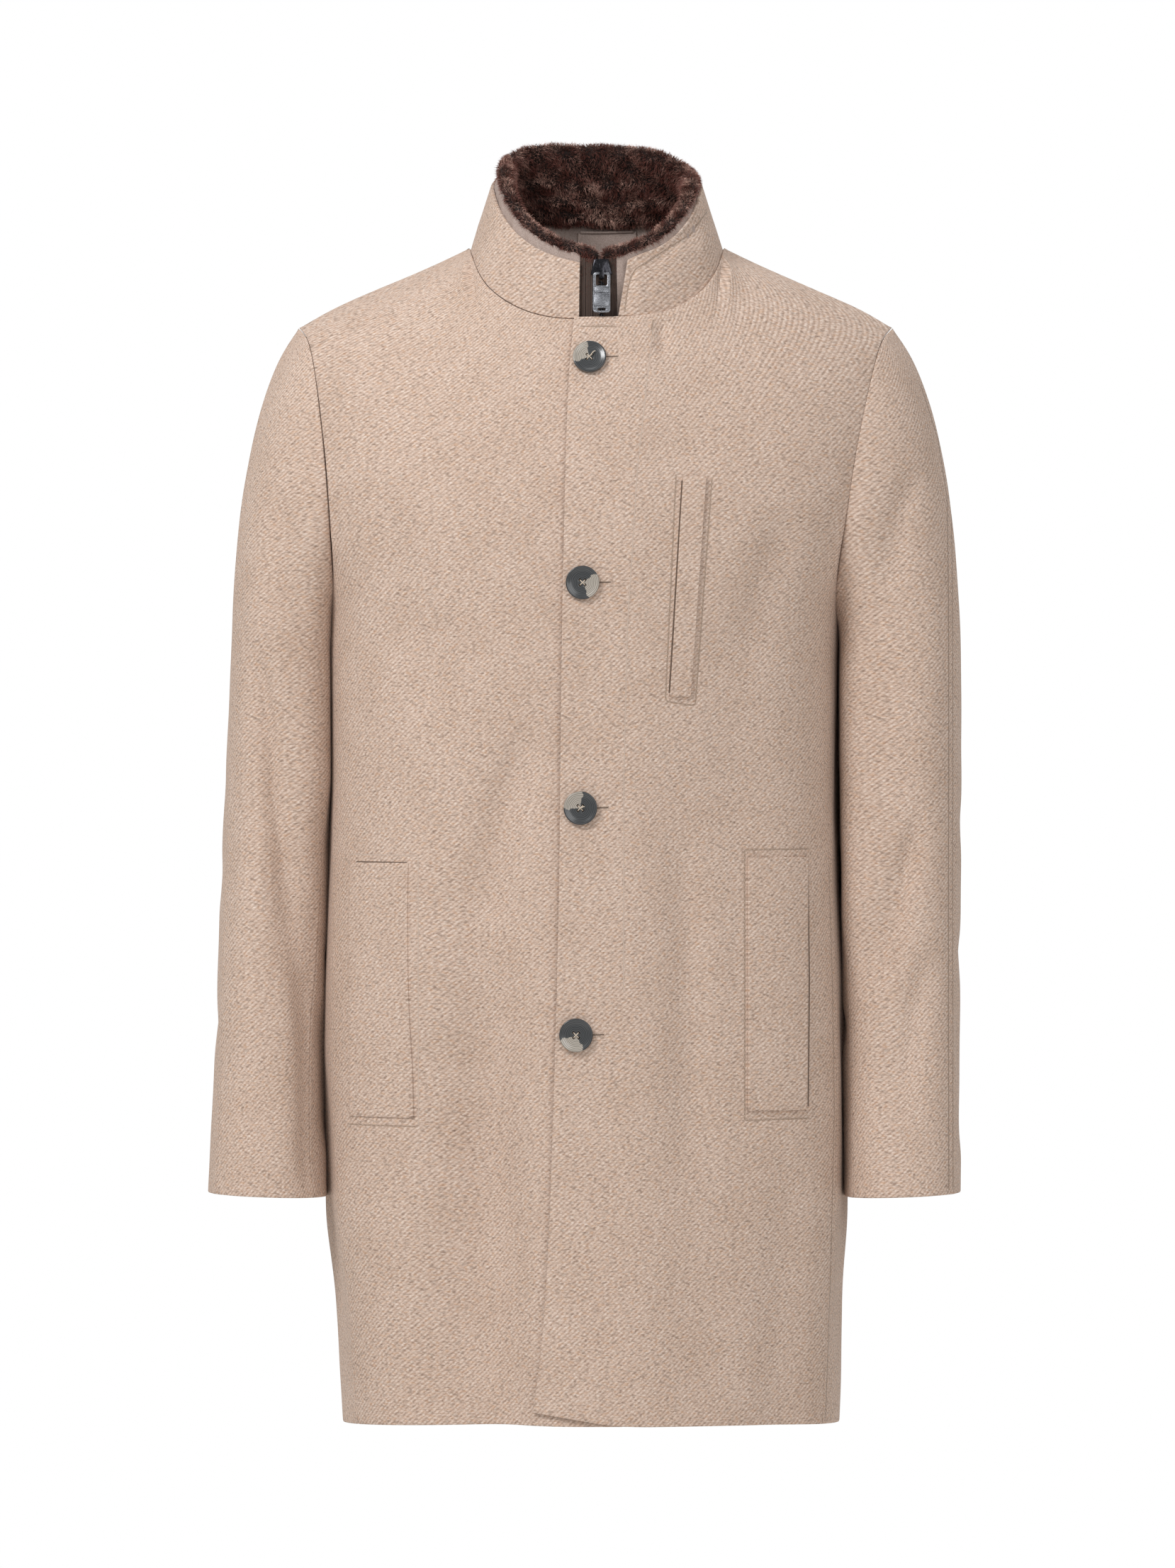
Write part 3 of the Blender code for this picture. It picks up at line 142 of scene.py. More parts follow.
SLEEVE_CREASES = (
    Crease("front", ((-0.262, -0.270), (-0.240, -0.420), (-0.216, -0.590)), 0.013, -0.0060),
    Crease("front", ((-0.226, -0.520), (-0.215, -0.620), (-0.212, -0.740)), 0.014, -0.0050),
    Crease("front", ((-0.252, -0.420), (-0.262, -0.520), (-0.266, -0.640)), 0.018, 0.0026),
    Crease("front", ((-0.214, -0.230), (-0.211, -0.350), (-0.214, -0.460)), 0.014, 0.0044),
    Crease("front", ((-0.243, -0.176), (-0.232, -0.230), (-0.226, -0.290)), 0.013, -0.0022),
    Crease("front", ((0.246, -0.420), (0.224, -0.500), (0.203, -0.570)), 0.011, -0.0044),
    Crease("front", ((0.254, -0.520), (0.238, -0.590), (0.224, -0.660)), 0.013, -0.0030),
    Crease("front", ((0.200, -0.220), (0.197, -0.400), (0.199, -0.600)), 0.014, 0.0042),
    Crease("front", ((0.246, -0.160), (0.226, -0.210), (0.214, -0.270)), 0.013, -0.0026),
    Crease("left", ((0.046, -0.380), (0.020, -0.420), (-0.020, -0.446)), 0.010, -0.0024),
    Crease("left", ((0.052, -0.300), (0.034, -0.362), (0.002, -0.402)), 0.012, -0.0022),
    Crease("left", ((0.030, -0.470), (0.000, -0.520), (-0.034, -0.548)), 0.010, -0.0020),
    Crease("left", ((-0.040, -0.560), (-0.030, -0.620), (-0.034, -0.690)), 0.013, -0.0016),
    Crease("right", ((0.050, -0.340), (0.028, -0.392), (-0.010, -0.426)), 0.012, -0.0024),
    Crease("right", ((0.044, -0.416), (0.014, -0.462), (-0.026, -0.486)), 0.010, -0.0022),
    Crease("right", ((0.016, -0.540), (-0.012, -0.580), (-0.044, -0.600)), 0.010, -0.0018),
    Crease("back", ((0.214, -0.360), (0.236, -0.396), (0.262, -0.410)), 0.011, -0.0024),
    Crease("back", ((0.206, -0.420), (0.232, -0.452), (0.264, -0.460)), 0.010, -0.0022),
    Crease("back", ((0.216, -0.510), (0.232, -0.600), (0.230, -0.690)), 0.014, -0.0018),
    Crease("back", ((-0.224, -0.372), (-0.246, -0.404), (-0.270, -0.414)), 0.011, -0.0024),
    Crease("back", ((-0.216, -0.436), (-0.242, -0.470), (-0.272, -0.478)), 0.010, -0.0022),
    Crease("back", ((-0.236, -0.520), (-0.248, -0.610), (-0.250, -0.700)), 0.014, -0.0018),
)
COLLAR_CREASES = (
    Crease("front", ((0.066, -0.004), (0.076, 0.016), (0.080, 0.036)), 0.008, -0.0016),
    Crease("front", ((0.0840, 0.0296), (0.0563, -0.0002), (0.0292, -0.0185)), 0.005, -0.0016),
    Crease("front", ((0.0292, -0.0160), (0.0245, -0.0290), (0.0200, -0.0560)), 0.004, -0.0014),
    Crease("front", ((0.018, -0.056), (0.056, -0.046), (0.100, -0.012)), 0.018, -0.0020),
    Crease("back", ((-0.050, 0.010), (-0.010, 0.022), (0.040, 0.014)), 0.010, -0.0010),
)
SIDE_WAYS = {"front": (0.0, -1.0), "back": (0.0, 1.0), "left": (1.0, 0.0), "right": (-1.0, 0.0)}


def select_only(piece):
    """Select one object and make it the active one."""
    bpy.ops.object.select_all(action="DESELECT")
    piece.select_set(True)
    bpy.context.view_layer.objects.active = piece


def read_points(piece, what="co"):
    """Return the places of a piece's vertices as rows, or their normals."""
    values = np.empty(len(piece.data.vertices) * 3)
    piece.data.vertices.foreach_get(what, values)
    return values.reshape(-1, 3)


def write_points(piece, places):
    """Set the vertex places of a piece."""
    piece.data.vertices.foreach_set("co", places.ravel())
    piece.data.update()


def linear(code):
    """Turn an sRGB hex colour to linear values with an alpha of 1."""
    channels = [int(code[start:start + 2], 16) / 255 for start in (1, 3, 5)]
    values = [part / 12.92 if part <= 0.04045 else ((part + 0.055) / 1.055) ** 2.4
              for part in channels]
    return (*values, 1.0)


def add_node(tree, kind, settings=None, links=None):
    """Add a shader node, set its sockets and properties, and link its inputs."""
    node = tree.nodes.new("ShaderNode" + kind)
    for name, value in (settings or {}).items():
        if name == "stops":
            while len(node.color_ramp.elements) < len(value):
                node.color_ramp.elements.new(0.5)
            for element, (place, code) in zip(node.color_ramp.elements, value):
                element.position = place
                element.color = linear(code)
        elif isinstance(name, int) or name in node.inputs:
            node.inputs[name].default_value = value
        else:
            setattr(node, name, value)
    for name, socket in (links or {}).items():
        tree.links.new(socket, node.inputs[name])
    return node


def new_material(name, settings):
    """Return a new material's tree and its shader, with the shader's sockets set."""
    material = bpy.data.materials.new(name)
    material.use_nodes = True
    tree = material.node_tree
    shader = tree.nodes["Principled BSDF"]
    for socket, value in settings.items():
        shader.inputs[socket].default_value = value
    return material, tree, shader


def grain_scale(millimetres):
    """Return the scale of a noise whose grains have a real size."""
    return 1000.0 / millimetres


def wave_scale(millimetres, slant=1.0):
    """Return the scale of a wave whose bands or rings are a real distance apart."""
    return 1000.0 * 2 * math.pi / (20 * slant * millimetres)


def dress_shader(tree, shader, colour, height=None, strength=0.0, distance=0.0):
    """Give a shader its colour and, where there is a height, its relief over a distance."""
    tree.links.new(colour, shader.inputs["Base Color"])
    if height is not None:
        bump = add_node(tree, "Bump", {"Strength": strength, "Distance": distance},
                        {"Height": height})
        tree.links.new(bump.outputs["Normal"], shader.inputs["Normal"])


def patterned(name, settings, kind, pattern, stops, *relief):
    """Return a new material that one pattern colours and, with a relief's strength and
    distance, also raises. Its tree, its shader and the pattern come with it."""
    material, tree, shader = new_material(name, settings)
    where = add_node(tree, "TexCoord")
    grain = add_node(tree, kind, pattern, {"Vector": where.outputs["Object"]})
    tone = add_node(tree, "ValToRGB", {"stops": stops}, {"Fac": grain.outputs["Fac"]})
    height = grain.outputs["Fac"] if relief else None
    dress_shader(tree, shader, tone.outputs["Color"], height, *relief)
    return material, tree, shader, grain


# What the wool's colour is multiplied by: the flecks' hues, the ribs and the clouds
Tint = namedtuple("Tint", "share stops")
HUE_TINT = Tint(0.8, ((0.34, "#D2D0CE"), (0.47, "#FFFFFF"), (0.55, "#FFFFFF"), (0.68, "#F8EADB")))
RIB_TINT = Tint(0.9, ((0.1, "#E4DED9"), (0.7, "#FFFFFF")))
CLOUD_TINT = Tint(1.0, ((0.3, "#F8F6F4"), (0.65, "#FFFFFF")))
CLOUD_SIZE = 29.41


def wool_twill():
    """Brushed melange wool in a diagonal twill: matt, hairy, with pale and dark flecks.

    The twill's ribs are 2.6 mm apart and its flecks 2.6 mm long, close to what the
    photograph shows. The single hairs are finer than a pixel and are left to the sheen."""
    sizes = bpy.context.scene.coat_wool
    material, tree, shader = new_material("wool_twill", {
        "Roughness": 0.92, "Specular IOR Level": 0.18, "Sheen Weight": 0.16,
        "Sheen Roughness": 0.55, "Sheen Tint": linear("#F0E6DC")})
    where = add_node(tree, "TexCoord")
    laid = add_node(tree, "Attribute", {"attribute_name": "laid"})
    along = add_node(tree, "Mapping",
                     {"Rotation": (0.0, math.radians(-45), 0.0), "Scale": (0.5, 0.8, 1.0)},
                     {"Vector": laid.outputs["Vector"]})
    flipped = add_node(tree, "Mapping", {"Scale": (1.0, 0.0, -1.0)}, {"Vector": laid.outputs["Vector"]})
    ribs = add_node(tree, "TexWave",
                    {"bands_direction": "DIAGONAL",
                     "Scale": wave_scale(1000.0 * sizes.rib_spacing, math.sqrt(2) / 2),
                     "Distortion": 1.4, "Detail": 2.0, "Detail Scale": 2.4},
                    {"Vector": flipped.outputs["Vector"]})
    flecks = add_node(tree, "TexNoise",
                      {"Scale": 1.0 / sizes.fleck, "Detail": 2.0, "Roughness": 0.6},
                      {"Vector": along.outputs["Vector"]})
    hues = add_node(tree, "TexNoise",
                    {"Scale": 0.62 / sizes.fleck, "Detail": 1.5, "Roughness": 0.55},
                    {"Vector": along.outputs["Vector"]})
    clouds = add_node(tree, "TexNoise", {"Scale": grain_scale(CLOUD_SIZE), "Detail": 2.0},
                      {"Vector": where.outputs["Object"]})
    tones = add_node(tree, "ValToRGB",
                     {"stops": ((0.28, sizes.dark_code), (0.44, sizes.shade_code),
                                (0.54, sizes.wool_code), (0.72, sizes.pale_code))},
                     {"Fac": flecks.outputs["Fac"]})
    colour = tones.outputs["Color"]
    for pattern, tint in ((hues, HUE_TINT), (ribs, RIB_TINT), (clouds, CLOUD_TINT)):
        tone = add_node(tree, "ValToRGB", {"stops": tint.stops}, {"Fac": pattern.outputs["Fac"]})
        tinted = add_node(tree, "Mix",
                          {"data_type": "RGBA", "blend_type": "MULTIPLY", "Factor": tint.share},
                          {6: colour, 7: tone.outputs["Color"]})
        colour = tinted.outputs[2]
    height = add_node(tree, "Math", {"operation": "MULTIPLY_ADD", 1: 0.8},
                      {0: flecks.outputs["Fac"], 2: ribs.outputs["Fac"]})
    dress_shader(tree, shader, colour, height.outputs["Value"], 0.26, 0.0005)
    return material


def insert_taffeta():
    """Taupe polyester taffeta, tightly woven: smooth, with a soft satin gleam.

    Its threads are finer than a pixel, so they are drawn 0.7 mm apart. Its puckers are 11 mm."""
    material, tree, shader = new_material("insert_taffeta", {
        "Roughness": 0.62, "Specular IOR Level": 0.35, "Sheen Weight": 0.1})
    where = add_node(tree, "TexCoord")
    threads = add_node(tree, "TexNoise", {"Scale": grain_scale(0.7143), "Detail": 1.0},
                       {"Vector": where.outputs["Object"]})
    puckers = add_node(tree, "TexNoise", {"Scale": grain_scale(11.11), "Detail": 2.0},
                       {"Vector": where.outputs["Object"]})
    tone = add_node(tree, "ValToRGB", {"stops": ((0.3, "#97857C"), (0.7, "#B3A198"))},
                    {"Fac": threads.outputs["Fac"]})
    height = add_node(tree, "Math", {"operation": "MULTIPLY_ADD", 1: 0.15},
                      {0: threads.outputs["Fac"], 2: puckers.outputs["Fac"]})
    dress_shader(tree, shader, tone.outputs["Color"], height.outputs["Value"], 0.5, 0.0012)
    return material


def fur_skin():
    """The fur's knitted ground, 1.4 mm to a loop: near black brown and matt, seen between hairs."""
    return patterned("fur_skin", {"Roughness": 0.95}, "TexNoise",
                     {"Scale": grain_scale(1.4286), "Detail": 2.0},
                     ((0.35, "#150B09"), (0.7, "#2C1A16")))[0]


def fur_pile():
    """Sheared acrylic pile: dark brown at the root, with paler, pinkish tips in 10 mm patches. The tips
    are paler still on the rolls' crests and where hairs face up, a painted highlight as if lit from
    above.
    """
    sizes = bpy.context.scene.coat_fur
    material, tree, shader = new_material("fur_pile", {
        "Roughness": 0.55, "Specular IOR Level": 0.3, "Sheen Weight": 0.25,
        "Sheen Roughness": 0.4, "Sheen Tint": linear("#C9A897")})
    where = add_node(tree, "TexCoord")
    reach = add_node(tree, "Attribute", {"attribute_name": "reach"})
    shade = add_node(tree, "Attribute", {"attribute_name": "shade"})
    patches = add_node(tree, "TexNoise",
                       {"Scale": grain_scale(10.526), "Detail": 3.0, "Roughness": 0.65},
                       {"Vector": where.outputs["Object"]})
    length = add_node(tree, "ValToRGB",
                      {"stops": ((0.0, "#22140F"), (0.45, sizes.root_code), (1.0, sizes.hair_code))},
                      {"Fac": reach.outputs["Fac"]})
    # The pale tips' share: a hair's reach times its random tone and its painted highlight
    lit = add_node(tree, "Math", {"operation": "MULTIPLY"},
                   {0: reach.outputs["Fac"], 1: shade.outputs["Fac"]})
    patchy = add_node(tree, "MapRange",
                      {"From Min": 0.45, "From Max": 0.60, "To Min": 0.08, "To Max": 1.0},
                      {"Value": patches.outputs["Fac"]})
    share = add_node(tree, "Math", {"operation": "MULTIPLY"},
                     {0: lit.outputs["Value"], 1: patchy.outputs["Result"]})
    hair = add_node(tree, "Mix", {"data_type": "RGBA", 7: linear(sizes.tip_code)},
                    {0: share.outputs["Value"], 6: length.outputs["Color"]})
    dress_shader(tree, shader, hair.outputs[2])
    return material


def zip_tape_weave():
    """Woven polyester zip tape: dark brown, matt, with fine lengthwise ribs 0.9 mm apart."""
    return patterned("zip_tape_weave", {"Roughness": 0.8, "Sheen Weight": 0.15}, "TexWave",
                     {"Scale": wave_scale(0.9), "Distortion": 0.6},
                     ((0.2, "#2A1D17"), (0.8, "#57443A")), 0.4, 0.0003)[0]


def gunmetal():
    """Zinc die casting with a dark nickel plate: satin, brighter in 1 mm spots where it is rubbed."""
    material, tree, shader, rubbed = patterned(
        "gunmetal", {"Metallic": 1.0}, "TexNoise", {"Scale": grain_scale(1.111), "Detail": 3.0},
        ((0.35, "#26262A"), (0.75, "#454448")))
    gloss = add_node(tree, "MapRange", {"To Min": 0.15, "To Max": 0.30},
                     {"Value": rubbed.outputs["Fac"]})
    tree.links.new(gloss.outputs["Result"], shader.inputs["Roughness"])
    return material


def antique_silver():
    """Zinc with an antiqued silver plate: pale metal, sand-cast in 0.4 mm grains with dark pits."""
    return patterned("antique_silver", {"Metallic": 1.0, "Roughness": 0.36}, "TexNoise",
                     {"Scale": grain_scale(0.4348), "Detail": 3.0, "Roughness": 0.7},
                     ((0.36, "#45464A"), (0.5, "#7E8085"), (0.68, "#B4B5B9")), 0.35, 0.0002)[0]


def horn_effect(name, middle, turn):
    """Polyester cast to look like horn: polished charcoal with a grey wedge of growth rings.

    The rings are 1.2 mm apart and the wedge's edge wanders over about 6 mm."""
    material, tree, shader = new_material(name, {
        "Roughness": 0.28, "Coat Weight": 0.35, "Coat Roughness": 0.15})
    where = add_node(tree, "TexCoord")
    centred = add_node(tree, "VectorMath", {"operation": "SUBTRACT", 1: middle},
                       {0: where.outputs["Object"]})
    turned = add_node(tree, "Mapping", {"Rotation": (0.0, turn, 0.0)},
                      {"Vector": centred.outputs["Vector"]})
    warp = add_node(tree, "TexNoise", {"Scale": grain_scale(6.25), "Detail": 2.0},
                    {"Vector": turned.outputs["Vector"]})
    parts = add_node(tree, "SeparateXYZ", None, {"Vector": turned.outputs["Vector"]})
    angle = add_node(tree, "Math", {"operation": "ARCTAN2"},
                     {0: parts.outputs["Z"], 1: parts.outputs["X"]})
    bent = add_node(tree, "Math", {"operation": "MULTIPLY_ADD", 1: 1.1},
                    {0: warp.outputs["Fac"], 2: angle.outputs["Value"]})
    span = add_node(tree, "MapRange", {"From Min": 0.5, "From Max": 3.2},
                    {"Value": bent.outputs["Value"]})
    wedge = add_node(tree, "ValToRGB",
                     {"stops": ((0.0, "#000000"), (0.02, "#FFFFFF"), (0.62, "#FFFFFF"),
                                (0.66, "#000000"))},
                     {"Fac": span.outputs["Result"]})
    rings = add_node(tree, "TexWave",
                     {"wave_type": "RINGS", "rings_direction": "Y", "Scale": wave_scale(1.2083),
                      "Distortion": 5.0, "Detail": 2.0, "Detail Scale": 0.7},
                     {"Vector": turned.outputs["Vector"]})
    dark, grey = (add_node(tree, "ValToRGB", {"stops": ((0.2, low), (0.85, high))},
                           {"Fac": rings.outputs["Fac"]})
                  for low, high in (("#26282A", "#444648"), ("#857E75", "#B3ABA0")))
    both = add_node(tree, "Mix", {"data_type": "RGBA"},
                    {0: wedge.outputs["Color"], 6: dark.outputs["Color"], 7: grey.outputs["Color"]})
    dress_shader(tree, shader, both.outputs[2])
    return material


# In darker colours the same material also paints the shade in seam grooves, faint edges, pockets'
# mouths and buttonhole slits
def sewing_thread(name, pale, dark):
    """Spun polyester sewing thread with a twist 0.4 mm long: matt, with a slight gleam."""
    return patterned(name, {"Roughness": 0.75, "Sheen Weight": 0.2}, "TexNoise",
                     {"Scale": grain_scale(0.3846), "Detail": 1.0}, ((0.35, dark), (0.65, pale)))[0]


def floor_paper():
    """Matt white background paper, with faint clouds 25 mm wide."""
    return patterned("floor_paper", {"Roughness": 0.85}, "TexNoise",
                     {"Scale": grain_scale(25.0), "Detail": 3.0},
                     ((0.3, "#EDEBE8"), (0.7, "#F3F1EE")))[0]


def add_object(name, data):
    """Add an object to the scene around some data."""
    piece = bpy.data.objects.new(name, data)
    bpy.context.scene.collection.objects.link(piece)
    return piece


def add_mesh(name, corners, faces, material):
    """Add an object with a mesh of its own, from corners and faces."""
    mesh = bpy.data.meshes.new(name)
    mesh.from_pydata(corners, [], faces)
    mesh.materials.append(material)
    return add_object(name, mesh)


def new_shape(add, **sizes):
    """Add a primitive with nothing else selected, and return it."""
    bpy.ops.object.select_all(action="DESELECT")
    add(**sizes)
    return bpy.context.active_object


def welded_copy(node, name):
    """Copy a node as one welded mesh, and leave it in edit mode with all of it selected."""
    piece = add_object(name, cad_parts[node].data.copy())
    select_only(piece)
    piece.data.materials.clear()
    bpy.ops.mesh.customdata_custom_splitnormals_clear()
    bpy.ops.object.mode_set(mode="EDIT")
    bpy.ops.mesh.select_all(action="SELECT")
    bpy.ops.mesh.remove_doubles(threshold=WELD)
    return piece


def cloth_copy(node, levels, crease, name, material):
    """Copy a node as cloth: weld it, round it, and keep its cut edges."""
    piece = welded_copy(node, name)
    bpy.ops.mesh.tris_convert_to_quads(face_threshold=QUAD_BEND, shape_threshold=QUAD_SKEW)
    bpy.ops.object.mode_set(mode="OBJECT")
    crease_edges(piece, crease)
    rounding = piece.modifiers.new("rounding", "SUBSURF")
    rounding.levels = levels
    rounding.render_levels = levels
    bpy.ops.object.modifier_apply(modifier="rounding")
    bpy.ops.object.shade_smooth()
    piece.data.materials.append(material)
    return piece


def crease_edges(piece, crease):
    """Crease the edges where a piece's wall turns, and hold the corners where three meet."""
    mesh = bmesh.new()
    mesh.from_mesh(piece.data)
    layer = mesh.edges.layers.float.new("crease_edge")
    for edge in mesh.edges:
        if edge.is_manifold and edge.calc_face_angle() > EDGE_ANGLE:
            edge[layer] = crease
    corners = mesh.verts.layers.float.new("crease_vert")
    for vertex in mesh.verts:
        if sum(edge[layer] > 0.0 for edge in vertex.link_edges) >= CORNER_EDGES:
            vertex[corners] = 1.0
    mesh.to_mesh(piece.data)
    mesh.free()


def smooth_step(low, high, values):
    """Run from 0 at low to 1 at high, with soft ends."""
    share = np.clip((values - low) / (high - low), 0.0, 1.0)
    return share * share * (3.0 - 2.0 * share)


def body_ways(places):
    """Return the way out of the body at each place, level on the sides and up on the shoulders."""
    ways = np.zeros_like(places)
    ways[:, 0] = (places[:, 0] - BODY_MIDDLE) / BODY_HALF_WIDTH ** 2
    ways[:, 1] = places[:, 1] / BODY_HALF_DEPTH ** 2
    ways /= np.maximum(np.linalg.norm(ways, axis=1, keepdims=True), 1e-9)
    ways[:, 2] = 1.4 * smooth_step(-0.13, 0.0, places[:, 2])
    return ways / np.linalg.norm(ways, axis=1, keepdims=True)


def sleeve_middles(places):
    """Return where a sleeve's middle lies across and fore and aft, at the height of each place."""
    heights = [row.height for row in SLEEVE_MIDDLES]
    column = "left" if places[:, 0].mean() > 0 else "right"
    middle_x = np.interp(places[:, 2], heights, [getattr(row, column) for row in SLEEVE_MIDDLES])
    middle_y = np.interp(places[:, 2], heights, [row.fore for row in SLEEVE_MIDDLES])
    return middle_x, middle_y


# The arc round an oval is added up over this many steps from its back to its front
HALF_TURN_STEPS = 360


def lay_twill(piece, places):
    """Store how far round and up each point of the cloth lies, for the twill to follow."""
    middle_x, middle_y = BODY_MIDDLE, 0.0
    half_width, half_depth = BODY_HALF_WIDTH, BODY_HALF_DEPTH
    if piece.name.startswith("sleeve"):
        middle_x, middle_y = sleeve_middles(places)
        half_width, half_depth = SLEEVE_HALF_WIDTH, SLEEVE_HALF_DEPTH
    elif piece.name.startswith("collar"):
        half_width, half_depth = COLLAR_RADIUS, COLLAR_RADIUS
    behind = -1.0 if piece.name.startswith(("collar", "back", "sleeve_back")) else 1.0
    turns = np.linspace(-math.pi, math.pi, 2 * HALF_TURN_STEPS + 1)
    steps = np.hypot(half_width * np.cos(turns), half_depth * np.sin(turns)) * (turns[1] - turns[0])
    arcs = np.cumsum(steps) - steps[:HALF_TURN_STEPS + 1].sum()
    turn = np.arctan2((places[:, 0] - middle_x) / half_width,
                      -behind * (places[:, 1] - middle_y) / half_depth)
    laid = np.zeros_like(places)
    laid[:, 0] = behind * np.interp(turn, turns, arcs)
    laid[:, 2] = places[:, 2]
    layer = piece.data.attributes.new("laid", "FLOAT_VECTOR", "POINT")
    layer.data.foreach_set("vector", laid.ravel())


def sleeve_ways(places):
    """Return the way out of a sleeve at each place."""
    middle_x, middle_y = sleeve_middles(places)
    ways = np.zeros_like(places)
    ways[:, 0] = (places[:, 0] - middle_x) / SLEEVE_HALF_WIDTH ** 2
    ways[:, 1] = (places[:, 1] - middle_y) / SLEEVE_HALF_DEPTH ** 2
    return ways / np.maximum(np.linalg.norm(ways, axis=1, keepdims=True), 1e-9)


def line_distance(flat, places):
    """Return the distance to a bent line, and how far along it the nearest point is, from 0 to 1."""
    corners = np.array(places)
    lengths = np.linalg.norm(np.diff(corners, axis=0), axis=1)
    starts = np.concatenate([[0.0], np.cumsum(lengths)])
    nearest = np.full(len(flat), 1e9)
    share = np.zeros(len(flat))
    for index, length in enumerate(lengths):
        way = (corners[index + 1] - corners[index]) / length
        run = np.clip((flat - corners[index]) @ way, 0.0, length)
        gap = np.linalg.norm(flat - corners[index] - run[:, None] * way, axis=1)
        closer = gap < nearest
        nearest[closer] = gap[closer]
        share[closer] = (starts[index] + run[closer]) / starts[-1]
    return nearest, share


def bent_line(places, steps=24):
    """Return a smooth line through three places."""
    start, middle, end = (np.array(place) for place in places)
    pull = 2.0 * middle - 0.5 * (start + end)
    shares = np.linspace(0.0, 1.0, steps)[:, None]
    return (1 - shares) ** 2 * start + 2 * shares * (1 - shares) * pull + shares ** 2 * end


# The share of a crease's line over which each of its ends fades out
CREASE_FADE = 0.28


def crease_rise(places, ways, creases):
    """Add up how far each crease lifts or sinks each place."""
    rise = np.zeros(len(places))
    for row in creases:
        facing = ways[:, :2] @ np.array(SIDE_WAYS[row.side])
        across = places[:, 0] if row.side in ("front", "back") else places[:, 1]
        flat = np.stack([across, places[:, 2]], axis=1)
        gap, share = line_distance(flat, bent_line(row.places))
        fade = smooth_step(0.0, CREASE_FADE, share) * smooth_step(0.0, CREASE_FADE, 1.0 - share)
        width = row.width * (0.75 + 0.5 * share)
        rise += row.rise * fade * np.exp(-(gap / width) ** 2) * smooth_step(0.05, 0.55, facing)
    return rise


# How high the wool's long and short waves stand
LONG_WAVE = 0.0005
SHORT_WAVE = 0.00015


def cloth_ripple(places):
    """Return the small unevenness of worn wool, a few tenths of a millimetre."""
    x, y, z = places.T
    long_waves = np.sin(21 * x + 9 * z + 1.3) * np.sin(17 * z - 14 * y + 0.4)
    short_waves = np.sin(63 * x - 38 * z + 2.1) * np.sin(71 * z + 44 * y + 0.9)
    return LONG_WAVE * long_waves + SHORT_WAVE * short_waves


# How far a sleeve and the side of the body that it rests against press together, and the
# heights between which they lie together: each pair runs from no press to the full one
Press = namedtuple("Press", "sleeve body")
LEFT_PRESS = Press(0.0058, 0.0030)
RIGHT_PRESS = Press(0.0026, 0.0044)
PRESS_TOP = (-0.24, -0.30)
PRESS_FOOT = (-0.80, -0.725)


def press_together(places, ways, sleeve):
    """Return how far each place moves across where a sleeve and the body's side lie together."""
    side = np.sign(places[:, 0])
    reach = smooth_step(*PRESS_TOP, places[:, 2]) * smooth_step(*PRESS_FOOT, places[:, 2])
    if sleeve:
        amount = np.where(side > 0.0, LEFT_PRESS.sleeve, RIGHT_PRESS.sleeve)
        return -side * amount * reach * smooth_step(0.1, 0.8, -side * ways[:, 0])
    amount = np.where(side > 0.0, LEFT_PRESS.body, RIGHT_PRESS.body)
    return side * amount * reach * smooth_step(0.55, 0.92, side * ways[:, 0])


# How far a front's shoulder edge is drawn back, and where across and fore and aft it starts
# and is full
SHOULDER_DRAW = 0.0018
DRAW_ACROSS = (0.128, 0.100)
DRAW_FORE = (-0.030, -0.010)


def draw_shoulder(places):
    """Return how far a front's shoulder edge is drawn back to the seam beside the collar."""
    across = np.abs(places[:, 0] - BODY_MIDDLE)
    return SHOULDER_DRAW * smooth_step(*DRAW_ACROSS, across) * smooth_step(*DRAW_FORE, places[:, 1])


def fold_cloth(piece):
    """Press the folds and the small unevenness of worn wool into a piece."""
    sizes = bpy.context.scene.coat_wool
    places = read_points(piece)
    lay_twill(piece, places)
    sleeve = piece.name.startswith("sleeve")
    if sleeve:
        ways = sleeve_ways(places)
        rise = crease_rise(places, ways, SLEEVE_CREASES)
        rise *= smooth_step(-0.06, -0.16, places[:, 2])
    else:
        ways = body_ways(places)
        creases = COLLAR_CREASES if piece.name.startswith("collar") else BODY_CREASES
        rise = crease_rise(places, ways, creases)
    rise = sizes.folds * rise + sizes.ripple * cloth_ripple(places)
    moved = places + rise[:, None] * ways
    moved[:, 0] += press_together(places, ways, sleeve)
    if piece.name.startswith("front"):
        moved[:, 1] += draw_shoulder(places)
    write_points(piece, moved)


def settle(piece, body, slot, *nodes):
    """Make a piece ride on a body and stand for nodes, which are hidden. Its slot is not used."""
    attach(piece, body)
    if nodes:
        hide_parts(*nodes)


def length_setting(name, description, default, low, high, digits=4):
    """Return a setting that holds a length in metres."""
    return bpy.props.FloatProperty(name=name, description=description, default=default, min=low,
                                   max=high, unit="LENGTH", precision=digits)


def colour_setting(name, description, default):
    """Return a setting that holds a colour as an sRGB hex value."""
    return bpy.props.StringProperty(name=name, description=description + ", as sRGB hex",
                                    default=default)


